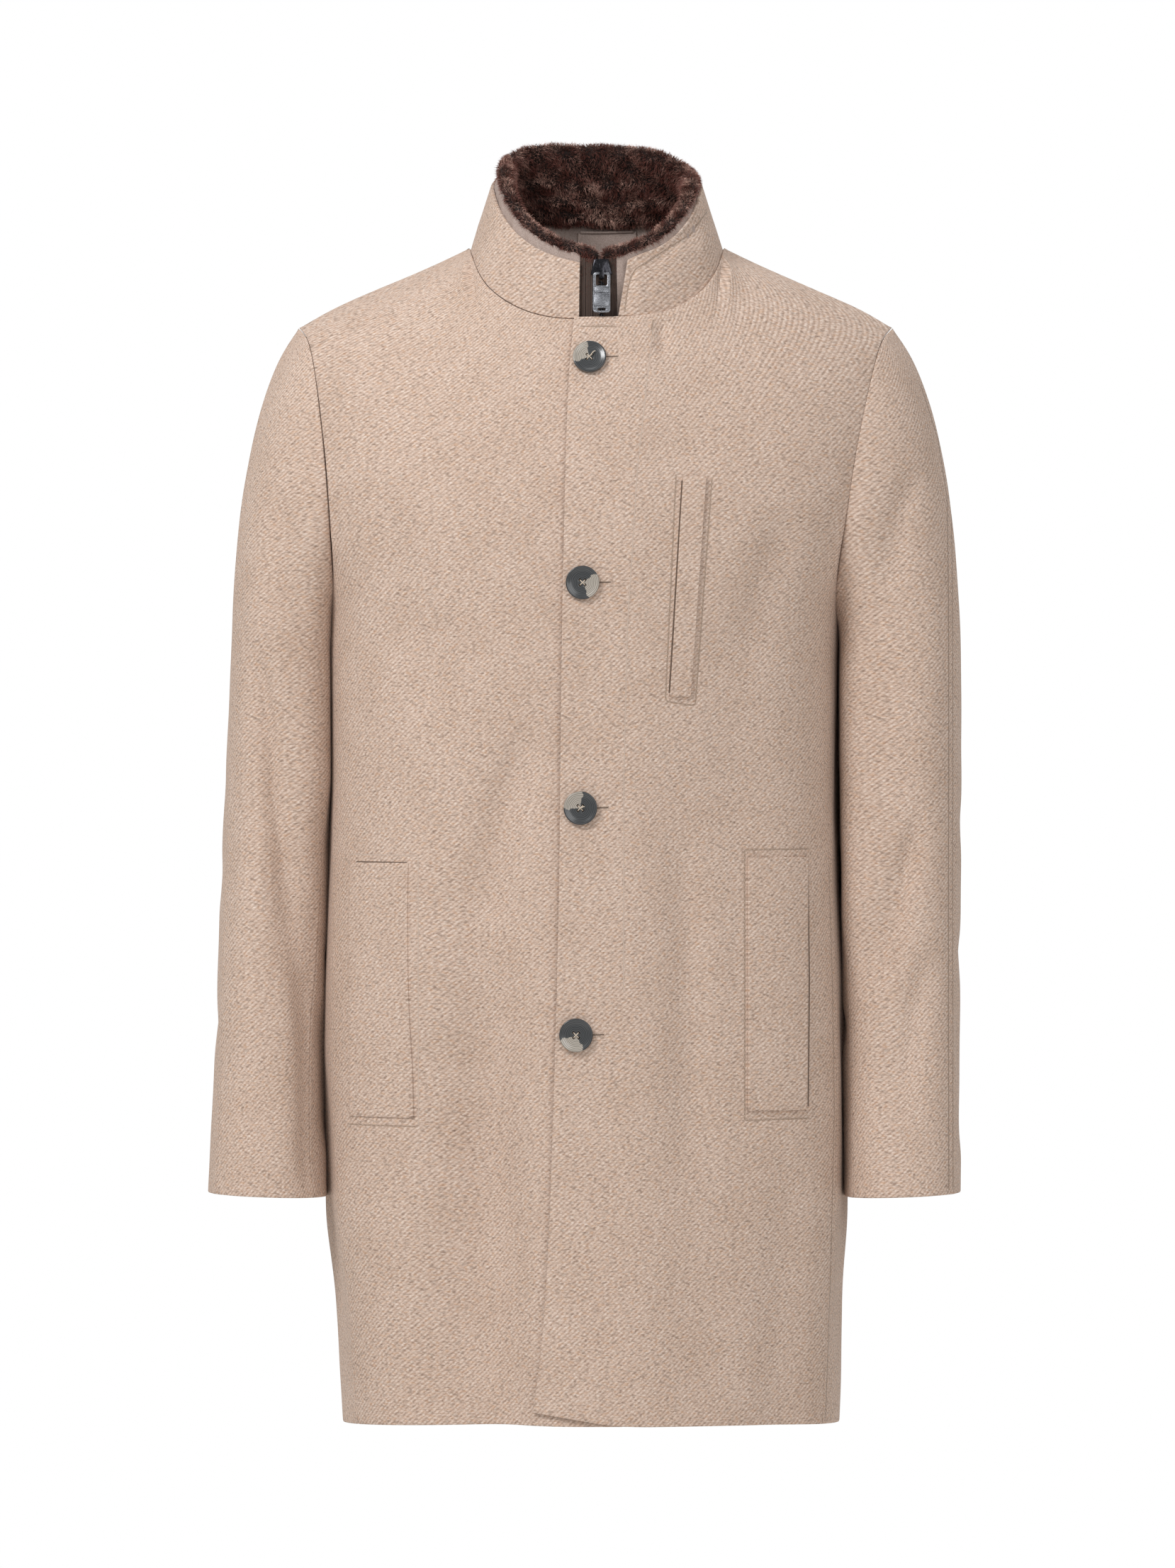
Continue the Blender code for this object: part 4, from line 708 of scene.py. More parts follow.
class WoolSettings(bpy.types.PropertyGroup):
    """Sizes and colours of the coat's wool."""

    rib_spacing: length_setting("Twill spacing", "Distance between the twill's ribs",
                                0.0026, 0.0005, 0.01)
    fleck: length_setting("Fleck size", "Length of the melange's flecks", 0.0013, 0.0004, 0.01)
    ripple: bpy.props.FloatProperty(
        name="Ripple", description="Share of the cloth's small unevenness",
        default=1.0, min=0.0, max=3.0, subtype="FACTOR")
    folds: bpy.props.FloatProperty(
        name="Folds", description="How deep the folds are, against their table",
        default=1.6, min=0.0, max=4.0)
    wool_code: colour_setting("Wool", "Main colour of the wool", "#D5BFB0")
    pale_code: colour_setting("Pale flecks", "Colour of the pale flecks", "#E6D8CD")
    shade_code: colour_setting("Shaded flecks", "Colour of the shaded flecks", "#C9B2A3")
    dark_code: colour_setting("Dark flecks", "Colour of the dark hairs", "#AC9485")


class FurSettings(bpy.types.PropertyGroup):
    """Sizes and colours of the fur collar."""

    hairs: bpy.props.IntProperty(
        name="Hairs", description="Hairs on each half of the fur collar",
        default=52000, min=1000, max=66000)
    length: length_setting("Pile length", "Length of a hair", 0.0042, 0.001, 0.02)
    width: length_setting("Hair width", "Width of a hair's root, as coarse as it needs to show",
                          0.00042, 0.0001, 0.002, 5)
    root_code: colour_setting("Roots", "Colour of the hairs' lower half", "#3E1C15")
    hair_code: colour_setting("Hairs", "Colour of the hairs' ends", "#7D4136")
    tip_code: colour_setting("Pale tips", "Colour of the pale tips", "#F2C6B4")


class SewingSettings(bpy.types.PropertyGroup):
    """Sizes of the buttons, the zip's teeth and the sewing."""

    button_width: length_setting("Button width", "Width of a coat button", 0.0250, 0.010, 0.050)
    button_depth: length_setting("Button depth", "Depth of a coat button at its rim",
                                 0.0030, 0.001, 0.010)
    stitch: length_setting("Stitch length", "Length of a topstitch with its gap",
                           0.0034, 0.001, 0.010)
    # The groove itself is not modelled: this is the width of the strip of painted shade laid along the
    # line
    groove: length_setting("Seam groove", "Width of the groove that a line of sewing presses in",
                           0.0010, 0.0002, 0.005)
    tooth: length_setting("Tooth spacing", "Distance from one zip tooth to the next on its tape",
                          0.0022, 0.001, 0.006)


class COAT_OT_stage(bpy.types.Operator):
    """Set the pale floor, the soft studio light and the camera"""

    bl_idname = "coat.stage"
    bl_label = "Stage"

    def execute(self, context):
        add_floor()
        add_lights()
        add_world()
        add_camera()
        return {"FINISHED"}


FLOOR_SIZE = 6.4
FLOOR_HEIGHT = -1.45


def add_floor():
    """Lay a pale floor where the wearer would stand, short of the camera's view."""
    floor = new_shape(bpy.ops.mesh.primitive_plane_add, size=FLOOR_SIZE,
                      location=(0.0, 0.0, FLOOR_HEIGHT))
    floor.name = "floor"
    floor.data.materials.append(floor_paper())


# Disc lamps: place and width in metres, power in watts
Lamp = namedtuple("Lamp", "name place size power")
LAMPS = (
    Lamp("key", (-1.9, -2.4, 1.9), 1.2, 74.0),
    Lamp("fill", (1.8, -3.8, 0.8), 2.4, 36.0),
    Lamp("top", (-0.4, 0.2, 3.2), 2.2, 26.0),
    Lamp("rim", (1.6, 3.0, 1.4), 2.0, 10.0),
)
LAMP_AIM = Vector((0.0, 0.0, -0.40))
WORLD_GLOW = 0.47


def add_lights():
    """Hang large soft lamps around the coat, the strongest at its right front."""
    for row in LAMPS:
        data = bpy.data.lights.new(row.name, "AREA")
        data.shape = "DISK"
        data.size = row.size
        data.energy = row.power
        lamp = add_object(row.name, data)
        lamp.location = row.place
        lamp.rotation_euler = (LAMP_AIM - Vector(row.place)).to_track_quat("-Z", "Y").to_euler()


def add_world():
    """Make the surroundings white to the camera and dimmer as a light."""
    world = bpy.data.worlds.new("studio")
    bpy.context.scene.world = world
    world.use_nodes = True
    tree = world.node_tree
    tree.nodes.clear()
    path = add_node(tree, "LightPath")
    glow, sheet = (add_node(tree, "Background", {"Color": linear("#FFFFFF"), "Strength": strength})
                   for strength in (WORLD_GLOW, 1.0))
    both = add_node(tree, "MixShader", None,
                    {0: path.outputs["Is Camera Ray"], 1: glow.outputs["Background"],
                     2: sheet.outputs["Background"]})
    add_node(tree, "OutputWorld", None, {"Surface": both.outputs["Shader"]})
    bpy.context.scene.view_settings.view_transform = "Standard"


def add_camera():
    """Stand a level long-lens camera in front of the coat, with the photograph's frame."""
    data = bpy.data.cameras.new("camera")
    data.sensor_fit = "VERTICAL"
    data.sensor_height = SENSOR
    data.lens = SENSOR * CAMERA_DISTANCE / (IMAGE_HEIGHT * PIXEL)
    camera = add_object("camera", data)
    camera.location = (CAMERA_ACROSS, -CAMERA_DISTANCE, CAMERA_HEIGHT)
    camera.rotation_euler = (math.radians(90), 0.0, 0.0)
    bpy.context.scene.camera = camera


class COAT_OT_wool(bpy.types.Operator):
    """Cut the wool fronts, back, sleeves and collar, and crease them"""

    bl_idname = "coat.wool"
    bl_label = "Wool panels"

    def execute(self, context):
        material = wool_twill()
        for row in WOOL_PANELS:
            piece = cloth_copy(row.node, row.levels, row.crease, row.node + "_wool", material)
            fold_cloth(piece)
            settle(piece, COAT, "wool", row.node)
        return {"FINISHED"}


# How deep the taffeta's puckers are, and the heights where they start and are full
PUCKER_DEPTH = 0.0009
PUCKER_START = -0.05
PUCKER_FULL = -0.02


def pucker_cloth(piece):
    """Draw up the taffeta in short puckers beside the edge that the fur is sewn to."""
    places = read_points(piece)
    x, y, z = places.T
    turn = np.arctan2(x - BODY_MIDDLE, -y)
    waves = np.sin(64 * turn + 130 * z) * np.sin(23 * turn + 1.1)
    rise = PUCKER_DEPTH * waves * smooth_step(PUCKER_START, PUCKER_FULL, z)
    write_points(piece, places + rise[:, None] * body_ways(places))


class COAT_OT_insert(bpy.types.Operator):
    """Cut the zip-in insert's fronts and back"""

    bl_idname = "coat.insert"
    bl_label = "Insert"

    def execute(self, context):
        material = insert_taffeta()
        for row in INSERT_PANELS:
            piece = cloth_copy(row.node, row.levels, row.crease, row.node + "_cloth", material)
            pucker_cloth(piece)
            settle(piece, COAT, "insert_cloth", row.node)
        return {"FINISHED"}


# The fur's rolls inside the back of the neck: height, where they run across, and how high
# they stand. A roll's ends fade over ROLL_FADE
Roll = namedtuple("Roll", "height start end rise")
FUR_ROLLS = (
    Roll(0.0560, -0.058, 0.034, 0.0026),
    Roll(0.0402, -0.046, 0.062, 0.0048),
    Roll(0.0300, -0.040, 0.040, 0.0036),
)
ROLL_FADE = 0.02
ROLL_WIDTH = 0.0034
ROLL_SWAY = 0.002
FUR_SINK = 0.0006
FUR_SEED = 11
HAIR_CORNERS = 5
HAIR_BEND = 0.55
HAIR_TAPER = 0.75
HAIR_DROOP = 0.15


def fur_rolls(places, ways):
    """Raise the soft rolls of fur inside the back of the neck."""
    inner = smooth_step(0.2, 0.7, -ways[:, 1]) * smooth_step(0.0, 0.02, places[:, 1])
    rise = np.zeros(len(places))
    for row in FUR_ROLLS:
        ends = smooth_step(row.start, row.start + ROLL_FADE, places[:, 0])
        ends *= smooth_step(-row.end, -row.end + ROLL_FADE, -places[:, 0])
        wave = row.height + ROLL_SWAY * np.sin(60 * places[:, 0] + 90 * row.height)
        rise += row.rise * ends * np.exp(-((places[:, 2] - wave) / ROLL_WIDTH) ** 2)
    return rise * inner


def mesh_tree(pieces):
    """Return a search tree over the faces of some pieces."""
    corners = []
    faces = []
    for piece in pieces:
        start = len(corners)
        corners.extend(vertex.co.copy() for vertex in piece.data.vertices)
        faces.extend([start + corner for corner in face.vertices] for face in piece.data.polygons)
    return BVHTree.FromPolygons(corners, faces)


def fur_roots(skin, count, side, dice):
    """Pick places on one half of the fur's skin, with the normals there."""
    places = read_points(skin)
    normals = read_points(skin, "normal")
    skin.data.calc_loop_triangles()
    corners = np.empty(len(skin.data.loop_triangles) * 3, dtype=np.int32)
    skin.data.loop_triangles.foreach_get("vertices", corners)
    corners = corners.reshape(-1, 3)
    corners = corners[places[corners].mean(axis=1)[:, 0] * side >= 0.0]
    first, second, third = (places[corners[:, index]] for index in range(3))
    areas = np.linalg.norm(np.cross(second - first, third - first), axis=1)
    chosen = dice.choice(len(corners), size=count, p=areas / areas.sum())
    shares = dice.random((count, 2))
    over = shares.sum(axis=1) > 1.0
    shares[over] = 1.0 - shares[over]
    weights = np.column_stack([1.0 - shares.sum(axis=1), shares])
    roots = (places[corners[chosen]] * weights[:, :, None]).sum(axis=1)
    ways = (normals[corners[chosen]] * weights[:, :, None]).sum(axis=1)
    return roots, ways / np.linalg.norm(ways, axis=1, keepdims=True)


def hair_ways(roots, normals, dice):
    """Comb the hairs: out of the skin, a little down and sideways in tufts."""
    x, y, z = roots.T
    tuft = np.stack([np.sin(310 * x + 170 * z), np.sin(260 * y - 210 * z + 1.0),
                     np.sin(280 * z + 190 * x + 2.0)], axis=1)
    ways = normals + 0.45 * tuft + dice.normal(0.0, 0.28, roots.shape) + np.array([0.0, 0.0, -0.22])
    return ways / np.linalg.norm(ways, axis=1, keepdims=True)


def add_hairs(name, skin, side, blockers, material):
    """Grow one half of the fur as one mesh of flat tapered hairs."""
    sizes = bpy.context.scene.coat_fur
    dice = np.random.default_rng(FUR_SEED + side)
    roots, normals = fur_roots(skin, sizes.hairs, side, dice)
    ways = hair_ways(roots, normals, dice)
    lengths = sizes.length * dice.uniform(0.7, 1.15, len(roots))
    clear = np.array([blockers.ray_cast(Vector(root), Vector(way), length)[0] is None
                      for root, way, length in zip(roots, ways, lengths)])
    roots, ways, lengths = roots[clear], ways[clear], lengths[clear][:, None]
    across = np.cross(ways, dice.normal(0.0, 1.0, roots.shape))
    across *= sizes.width / 2.0 / np.linalg.norm(across, axis=1, keepdims=True)
    middle = roots + ways * lengths * HAIR_BEND
    tips = roots + ways * lengths + dice.normal(0.0, 0.12, roots.shape) * lengths
    tips[:, 2] -= HAIR_DROOP * lengths[:, 0]
    corners = np.stack([roots - across, roots + across, middle + HAIR_TAPER * across,
                        middle - HAIR_TAPER * across, tips], axis=1).reshape(-1, 3)
    starts = HAIR_CORNERS * np.arange(len(roots))[:, None]
    quads = (starts + np.array([0, 1, 2, 3])).tolist()
    ends = (starts + np.array([3, 2, 4])).tolist()
    piece = add_mesh(name, corners.tolist(), quads + ends, material)
    # Painted highlight: hairs on the rolls' crests and hairs that face up get more of the pale tip
    # colour, as if lit from above; the random part of the tone is the pile's own
    crest_highlight = fur_rolls(roots, normals[clear]) / max(row.rise for row in FUR_ROLLS)
    top_highlight = smooth_step(0.30, 0.85, normals[clear][:, 2])
    tone = np.clip(dice.uniform(0.35, 1.0, len(roots)) * (0.45 + 1.5 * crest_highlight + 0.9 * top_highlight), 0.0, 1.0)
    reach = np.tile([0.0, 0.0, HAIR_BEND, HAIR_BEND, 1.0], len(roots))
    for attribute, values in (("reach", reach), ("shade", np.repeat(tone, HAIR_CORNERS))):
        layer = piece.data.attributes.new(attribute, "FLOAT", "POINT")
        layer.data.foreach_set("value", values)
    settle(piece, COAT, "fur")
    return piece


class COAT_OT_fur(bpy.types.Operator):
    """Make the fur collar's skin and grow its pile"""

    bl_idname = "coat.fur"
    bl_label = "Fur collar"

    def execute(self, context):
        skin = cloth_copy("fur_collar", 3, 0.0, "fur_skin", fur_skin())
        normals = read_points(skin, "normal")
        places = read_points(skin)
        rise = fur_rolls(places, normals) - FUR_SINK
        write_points(skin, places + rise[:, None] * normals)
        settle(skin, COAT, "fur", "fur_collar")
        near = ("collar_wool", "insert_left_cloth", "insert_right_cloth", "insert_back_cloth")
        blockers = mesh_tree([bpy.data.objects[name] for name in near])
        material = fur_pile()
        halves = [add_hairs("fur_pile_left", skin, 1, blockers, material),
                  add_hairs("fur_pile_right", skin, -1, blockers, material)]
        return {"FINISHED"}


# One row for each welt: the cut's width and length, and how far it is pressed into the front
# that it is sewn to
Welt = namedtuple("Welt", "node width length sink")
WELTS = (
    Welt("chest_welt", 0.020, 0.166, 0.0010),
    Welt("hand_welt_left", 0.055, 0.192, 0.0013),
    Welt("hand_welt_right", 0.062, 0.192, 0.0023),
)
TRIM_LEVELS = 3
TRIM_CREASE = 0.8


class COAT_OT_trims(bpy.types.Operator):
    """Add the pocket welts, the neck patch and the zip tapes"""

    bl_idname = "coat.trims"
    bl_label = "Welts, patch and tapes"

    def execute(self, context):
        wool = bpy.data.materials["wool_twill"]
        for row in WELTS:
            piece = cloth_copy(row.node, TRIM_LEVELS, TRIM_CREASE, row.node + "_wool", wool)
            fold_cloth(piece)
            places = read_points(piece)
            write_points(piece, places - row.sink * body_ways(places))
            settle(piece, COAT, "wool", row.node)
        taffeta = bpy.data.materials["insert_taffeta"]
        patch = cloth_copy("neck_patch", TRIM_LEVELS, TRIM_CREASE, "neck_patch_cloth", taffeta)
        settle(patch, COAT, "patch", "neck_patch")
        weave = zip_tape_weave()
        for node, width in (("zip_tape_left", 0.0125), ("zip_tape_right", 0.0172)):
            tape = cloth_copy(node, TRIM_LEVELS, TRIM_CREASE, node + "_weave", weave)
            settle(tape, COAT, "tape", node)
        return {"FINISHED"}


def node_axes(node):
    """Return a node's middle and its long, wide and thin directions, as columns."""
    places = read_points(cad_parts[node])
    middle = (places.min(axis=0) + places.max(axis=0)) / 2.0
    return Vector(middle), np.linalg.svd(places - middle, full_matrices=False)[2].T


def facing_matrix(middle, outward):
    """Return the matrix that takes a piece made at the origin, facing up, to its place."""
    outward = Vector(outward)
    level = Vector((0.0, 0.0, 1.0)).cross(outward).normalized()
    turn = Matrix((level, outward.cross(level), outward)).transposed()
    return Matrix.Translation(middle) @ turn.to_4x4()


def finish_edges(piece, width, angle=35):
    """Bevel a hard piece's edges and smooth its faces."""
    select_only(piece)
    edge = piece.modifiers.new("edge", "BEVEL")
    edge.width = width
    edge.segments = 2
    edge.limit_method = "ANGLE"
    edge.angle_limit = math.radians(angle)
    bpy.ops.object.modifier_apply(modifier="edge")
    bpy.ops.object.shade_smooth_by_angle(angle=math.radians(40))


def select_level(piece, height):
    """Select the faces of a piece in edit mode that look up at one height."""
    mesh = bmesh.from_edit_mesh(piece.data)
    for face in mesh.faces:
        face.select = face.normal.z > 0.9 and abs(face.calc_center_median().z - height) < 1e-5
    bmesh.update_edit_mesh(piece.data)


# The button's face from its rim inwards: each ring's share of the radius, and how far it drops
DishStep = namedtuple("DishStep", "width drop")
DISH_STEPS = (
    DishStep(0.09, 0.0),
    DishStep(0.10, 0.0007),
    DishStep(0.22, 0.0004),
    DishStep(0.25, 0.0001),
)
HOLE_RADIUS = 0.00105
HOLE_SPREAD = 0.0018
DRILL_LENGTH = 0.02
RIM_BEVEL = 0.0006
HOLE_BEVEL = 0.00018


def model_button():
    """Model one dished button with four holes, at the origin and facing up."""
    sizes = bpy.context.scene.coat_sewing
    radius = sizes.button_width / 2.0
    button = new_shape(bpy.ops.mesh.primitive_cylinder_add, vertices=64, radius=radius,
                       depth=sizes.button_depth)
    bpy.ops.object.mode_set(mode="EDIT")
    bpy.ops.mesh.select_mode(type="FACE")
    select_level(button, sizes.button_depth / 2.0)
    for row in DISH_STEPS:
        bpy.ops.mesh.inset(thickness=row.width * radius, depth=-row.drop)
    bpy.ops.mesh.select_all(action="DESELECT")
    bpy.ops.mesh.select_mode(type="EDGE")
    bpy.ops.mesh.edges_select_sharp(sharpness=math.radians(60))
    bpy.ops.mesh.bevel(offset=RIM_BEVEL, segments=3)
    bpy.ops.object.mode_set(mode="OBJECT")
    for across, up in ((1, 1), (1, -1), (-1, 1), (-1, -1)):
        place = (across * HOLE_SPREAD, up * HOLE_SPREAD, 0.0)
        drill = new_shape(bpy.ops.mesh.primitive_cylinder_add, vertices=20, radius=HOLE_RADIUS,
                          depth=DRILL_LENGTH, location=place)
        select_only(button)
        hole = button.modifiers.new("hole", "BOOLEAN")
        hole.object = drill
        bpy.ops.object.modifier_apply(modifier="hole")
        bpy.data.objects.remove(drill)
    finish_edges(button, HOLE_BEVEL, 50)
    return button


def add_cord(name, places, radius, material):
    """Lay a round thread along some places and turn it to a mesh."""
    curve = bpy.data.curves.new(name, "CURVE")
    curve.dimensions = "3D"
    curve.bevel_depth = radius
    curve.bevel_resolution = 2
    curve.use_fill_caps = True
    line = curve.splines.new("NURBS")
    line.points.add(len(places) - 1)
    for point, place in zip(line.points, places):
        point.co = (*place, 1.0)
    line.use_endpoint_u = True
    line.order_u = 3
    select_only(add_object(name, curve))
    bpy.ops.object.convert(target="MESH")
    piece = bpy.context.active_object
    piece.data.materials.clear()
    piece.data.materials.append(material)
    bpy.ops.object.shade_smooth()
    return piece


# Each button's own turn of its grey wedge, and where a loose thread's end reaches on it
Button = namedtuple("Button", "node turn tail")
BUTTONS = (
    Button("button_1", 1.75, (0.0042, 0.0040)),
    Button("button_2", -1.10, None),
    Button("button_3", 1.50, (0.0030, 0.0012)),
    Button("button_4", 3.50, None),
)
THREAD_RADIUS = 0.00042


def add_button_thread(row, place, material):
    """Sew two crossed bars of thread through a button's holes, with a loose end on some."""
    low, high = -0.0012, 0.0013
    bars = []
    for up in (1, -1):
        start, end = (-HOLE_SPREAD, -up * HOLE_SPREAD), (HOLE_SPREAD, up * HOLE_SPREAD)
        middle = 0.0006 + 0.0003 * up
        bars.append(((*start, low), (*start, high - 0.0010), (0.0, 0.0, middle + 0.0002),
                     (*end, high - 0.0010), (*end, low)))
    if row.tail:
        across, up = row.tail
        bars.append(((0.0, 0.0, 0.0010), (0.3 * across, 0.2 * up, 0.0021),
                     (0.7 * across, 0.9 * up, 0.0020), (across, up, 0.0013)))
    cords = [add_cord(row.node + "_thread", [place @ Vector(spot) for spot in bar],
                      THREAD_RADIUS, material) for bar in bars]
    bpy.ops.object.select_all(action="DESELECT")
    for cord in cords:
        cord.select_set(True)
    bpy.context.view_layer.objects.active = cords[0]
    bpy.ops.object.join()
    settle(cords[0], COAT, None)


class COAT_OT_buttons(bpy.types.Operator):
    """Model one button, copy it to its four places and sew it on"""

    bl_idname = "coat.buttons"
    bl_label = "Buttons"

    def execute(self, context):
        button = model_button()
        thread = sewing_thread("button_thread", "#D8CBBB", "#A99884")
        for row in BUTTONS:
            middle, axes = node_axes(row.node)
            outward = axes[:, 2] * -math.copysign(1.0, axes[1, 2])
            place = facing_matrix(middle, outward)
            piece = add_object(row.node + "_horn", button.data.copy())
            piece.data.transform(place)
            piece.data.materials.append(horn_effect(row.node + "_horn", middle, row.turn))
            settle(piece, COAT, "horn", row.node)
            add_button_thread(row, place, thread)
        bpy.data.objects.remove(button)
        return {"FINISHED"}


def select_corners(piece, node):
    """Select, in edit mode, the edges that stand at a flat node's four corners."""
    middle, axes = node_axes(node)
    mesh = bmesh.from_edit_mesh(piece.data)
    bpy.ops.mesh.select_all(action="DESELECT")
    bpy.ops.mesh.select_mode(type="EDGE")
    reach = [max(abs((vertex.co - middle).dot(Vector(axes[:, column]))) for vertex in mesh.verts)
             for column in (0, 1)]
    for edge in mesh.edges:
        spot = (edge.verts[0].co + edge.verts[1].co) / 2.0 - middle
        upright = abs((edge.verts[1].co - edge.verts[0].co).normalized().dot(Vector(axes[:, 2])))
        outer = all(abs(spot.dot(Vector(axes[:, column]))) > 0.9 * reach[column] for column in (0, 1))
        edge.select_set(upright > 0.95 and outer)
    bmesh.update_edit_mesh(piece.data)


def hard_copy(node, width, name, material, corner=0.0):
    """Copy a hard node as one welded mesh and bevel its edges, and its corners if they are round."""
    piece = welded_copy(node, name)
    bpy.ops.mesh.dissolve_limited(angle_limit=math.radians(2))
    if corner:
        select_corners(piece, node)
        bpy.ops.mesh.bevel(offset=corner, segments=5)
    bpy.ops.object.mode_set(mode="OBJECT")
    finish_edges(piece, width)
    piece.data.materials.append(material)
    return piece


# The pull's two raised plates: size, and how far below the pull's middle
Plate = namedtuple("Plate", "name width length below")
PLATES = (
    Plate("upper_plate", 0.0106, 0.0046, -0.0022),
    Plate("lower_plate", 0.0112, 0.0098, 0.0060),
)
PLATE_DEPTH = 0.0005
PLATE_RIM = 0.0005
PLATE_RISE = 0.0002
PLATE_BEVEL = 0.00012
PULL_HALF = 0.0008
PULL_BEVEL = 0.00030
PULL_CORNER = 0.0028
SLIDER_BEVEL = 0.00035


def add_pull_plate(row, material):
    """Lay a raised, grained plate on the pull's face."""
    middle, axes = node_axes("zip_pull")
    outward = Vector(axes[:, 2] * -math.copysign(1.0, axes[1, 2]))
    down = Vector(axes[:, 0] * -math.copysign(1.0, axes[2, 0]))
    plate = new_shape(bpy.ops.mesh.primitive_cube_add, size=1.0)
    plate.name = row.name
    bpy.ops.object.mode_set(mode="EDIT")
    bpy.ops.transform.resize(value=(row.width, row.length, PLATE_DEPTH))
    bpy.ops.mesh.select_mode(type="FACE")
    select_level(plate, PLATE_DEPTH / 2.0)
    bpy.ops.mesh.inset(thickness=PLATE_RIM, depth=PLATE_RISE)
    bpy.ops.object.mode_set(mode="OBJECT")
    finish_edges(plate, PLATE_BEVEL)
    spot = middle + row.below * down + (PULL_HALF + PLATE_DEPTH / 2.0) * outward
    plate.data.transform(facing_matrix(spot, outward))
    plate.data.materials.append(material)
    settle(plate, PULL, "old_silver")


# The teeth's own sizes, where the zip runs across, and how far down its teeth go
TOOTH_WIDTH = 0.0030
TOOTH_HEIGHT = 0.0011
TOOTH_DEPTH = 0.0014
ZIP_ACROSS = 0.0036
TEETH_TOP = -0.0285
TEETH_FOOT = -0.1540
TOOTH_PROBE = 0.0015
TOOTH_SHIFT = 0.0008
TOOTH_LIFT = 0.0003
TOOTH_BEVEL = 0.0002
# Rays that find the cloth start in front of it, and skip cloth that is seen edge on
STRAIGHT_BACK = Vector((0.0, 1.0, 0.0))
LEAST_FACING = -0.08


def tape_tree():
    """Return a search tree over both zip tapes."""
    return mesh_tree([bpy.data.objects["zip_tape_left_weave"],
                      bpy.data.objects["zip_tape_right_weave"]])


def model_tooth():
    """Model one zip tooth at the origin: a small block with broken edges."""
    tooth = new_shape(bpy.ops.mesh.primitive_cube_add, size=1.0)
    bpy.ops.object.mode_set(mode="EDIT")
    bpy.ops.transform.resize(value=(TOOTH_WIDTH, TOOTH_DEPTH, TOOTH_HEIGHT))
    bpy.ops.mesh.bevel(offset=TOOTH_BEVEL, segments=1)
    bpy.ops.object.mode_set(mode="OBJECT")
    return tooth


def repeat_mesh(name, source, matrices, material):
    """Make one mesh of many copies of a small piece."""
    places = read_points(source)
    spots = np.array([np.array(matrix) for matrix in matrices])
    copies = np.einsum("kij,nj->kni", spots[:, :3, :3], places) + spots[:, None, :3, 3]
    faces = []
    for index in range(len(matrices)):
        start = index * len(places)
        faces.extend([start + corner for corner in face.vertices] for face in source.data.polygons)
    piece = add_mesh(name, copies.reshape(-1, 3).tolist(), faces, material)
    select_only(piece)
    bpy.ops.object.shade_smooth()
    return piece


class COAT_OT_zip(bpy.types.Operator):
    """Finish the zip's slider and pull, and set its teeth"""

    bl_idname = "coat.zip"
    bl_label = "Zip"

    def execute(self, context):
        dark = gunmetal()
        silver = antique_silver()
        slider = hard_copy("zip_slider", SLIDER_BEVEL, "slider_metal", dark)
        settle(slider, COAT, "gunmetal", "zip_slider")
        pull = hard_copy("zip_pull", PULL_BEVEL, "pull_metal", silver, PULL_CORNER)
        settle(pull, PULL, "old_silver", "zip_pull")
        for row in PLATES:
            add_pull_plate(row, silver)
        tree = tape_tree()
        tooth = model_tooth()
        spacing = context.scene.coat_sewing.tooth
        count = int((TEETH_TOP - TEETH_FOOT) / spacing)
        matrices = []
        for index in range(2 * count):
            side = 1 if index % 2 else -1
            height = TEETH_TOP - index * spacing / 2.0
            probe = Vector((ZIP_ACROSS + side * TOOTH_PROBE, -1.0, height))
            place = tree.ray_cast(probe, STRAIGHT_BACK)[0]
            if place:
                spot = Vector((ZIP_ACROSS + side * TOOTH_SHIFT, place.y - TOOTH_LIFT, height))
                matrices.append(Matrix.Translation(spot))
        settle(repeat_mesh("zip_teeth", tooth, matrices, dark), COAT, "gunmetal")
        bpy.data.objects.remove(tooth)
        return {"FINISHED"}


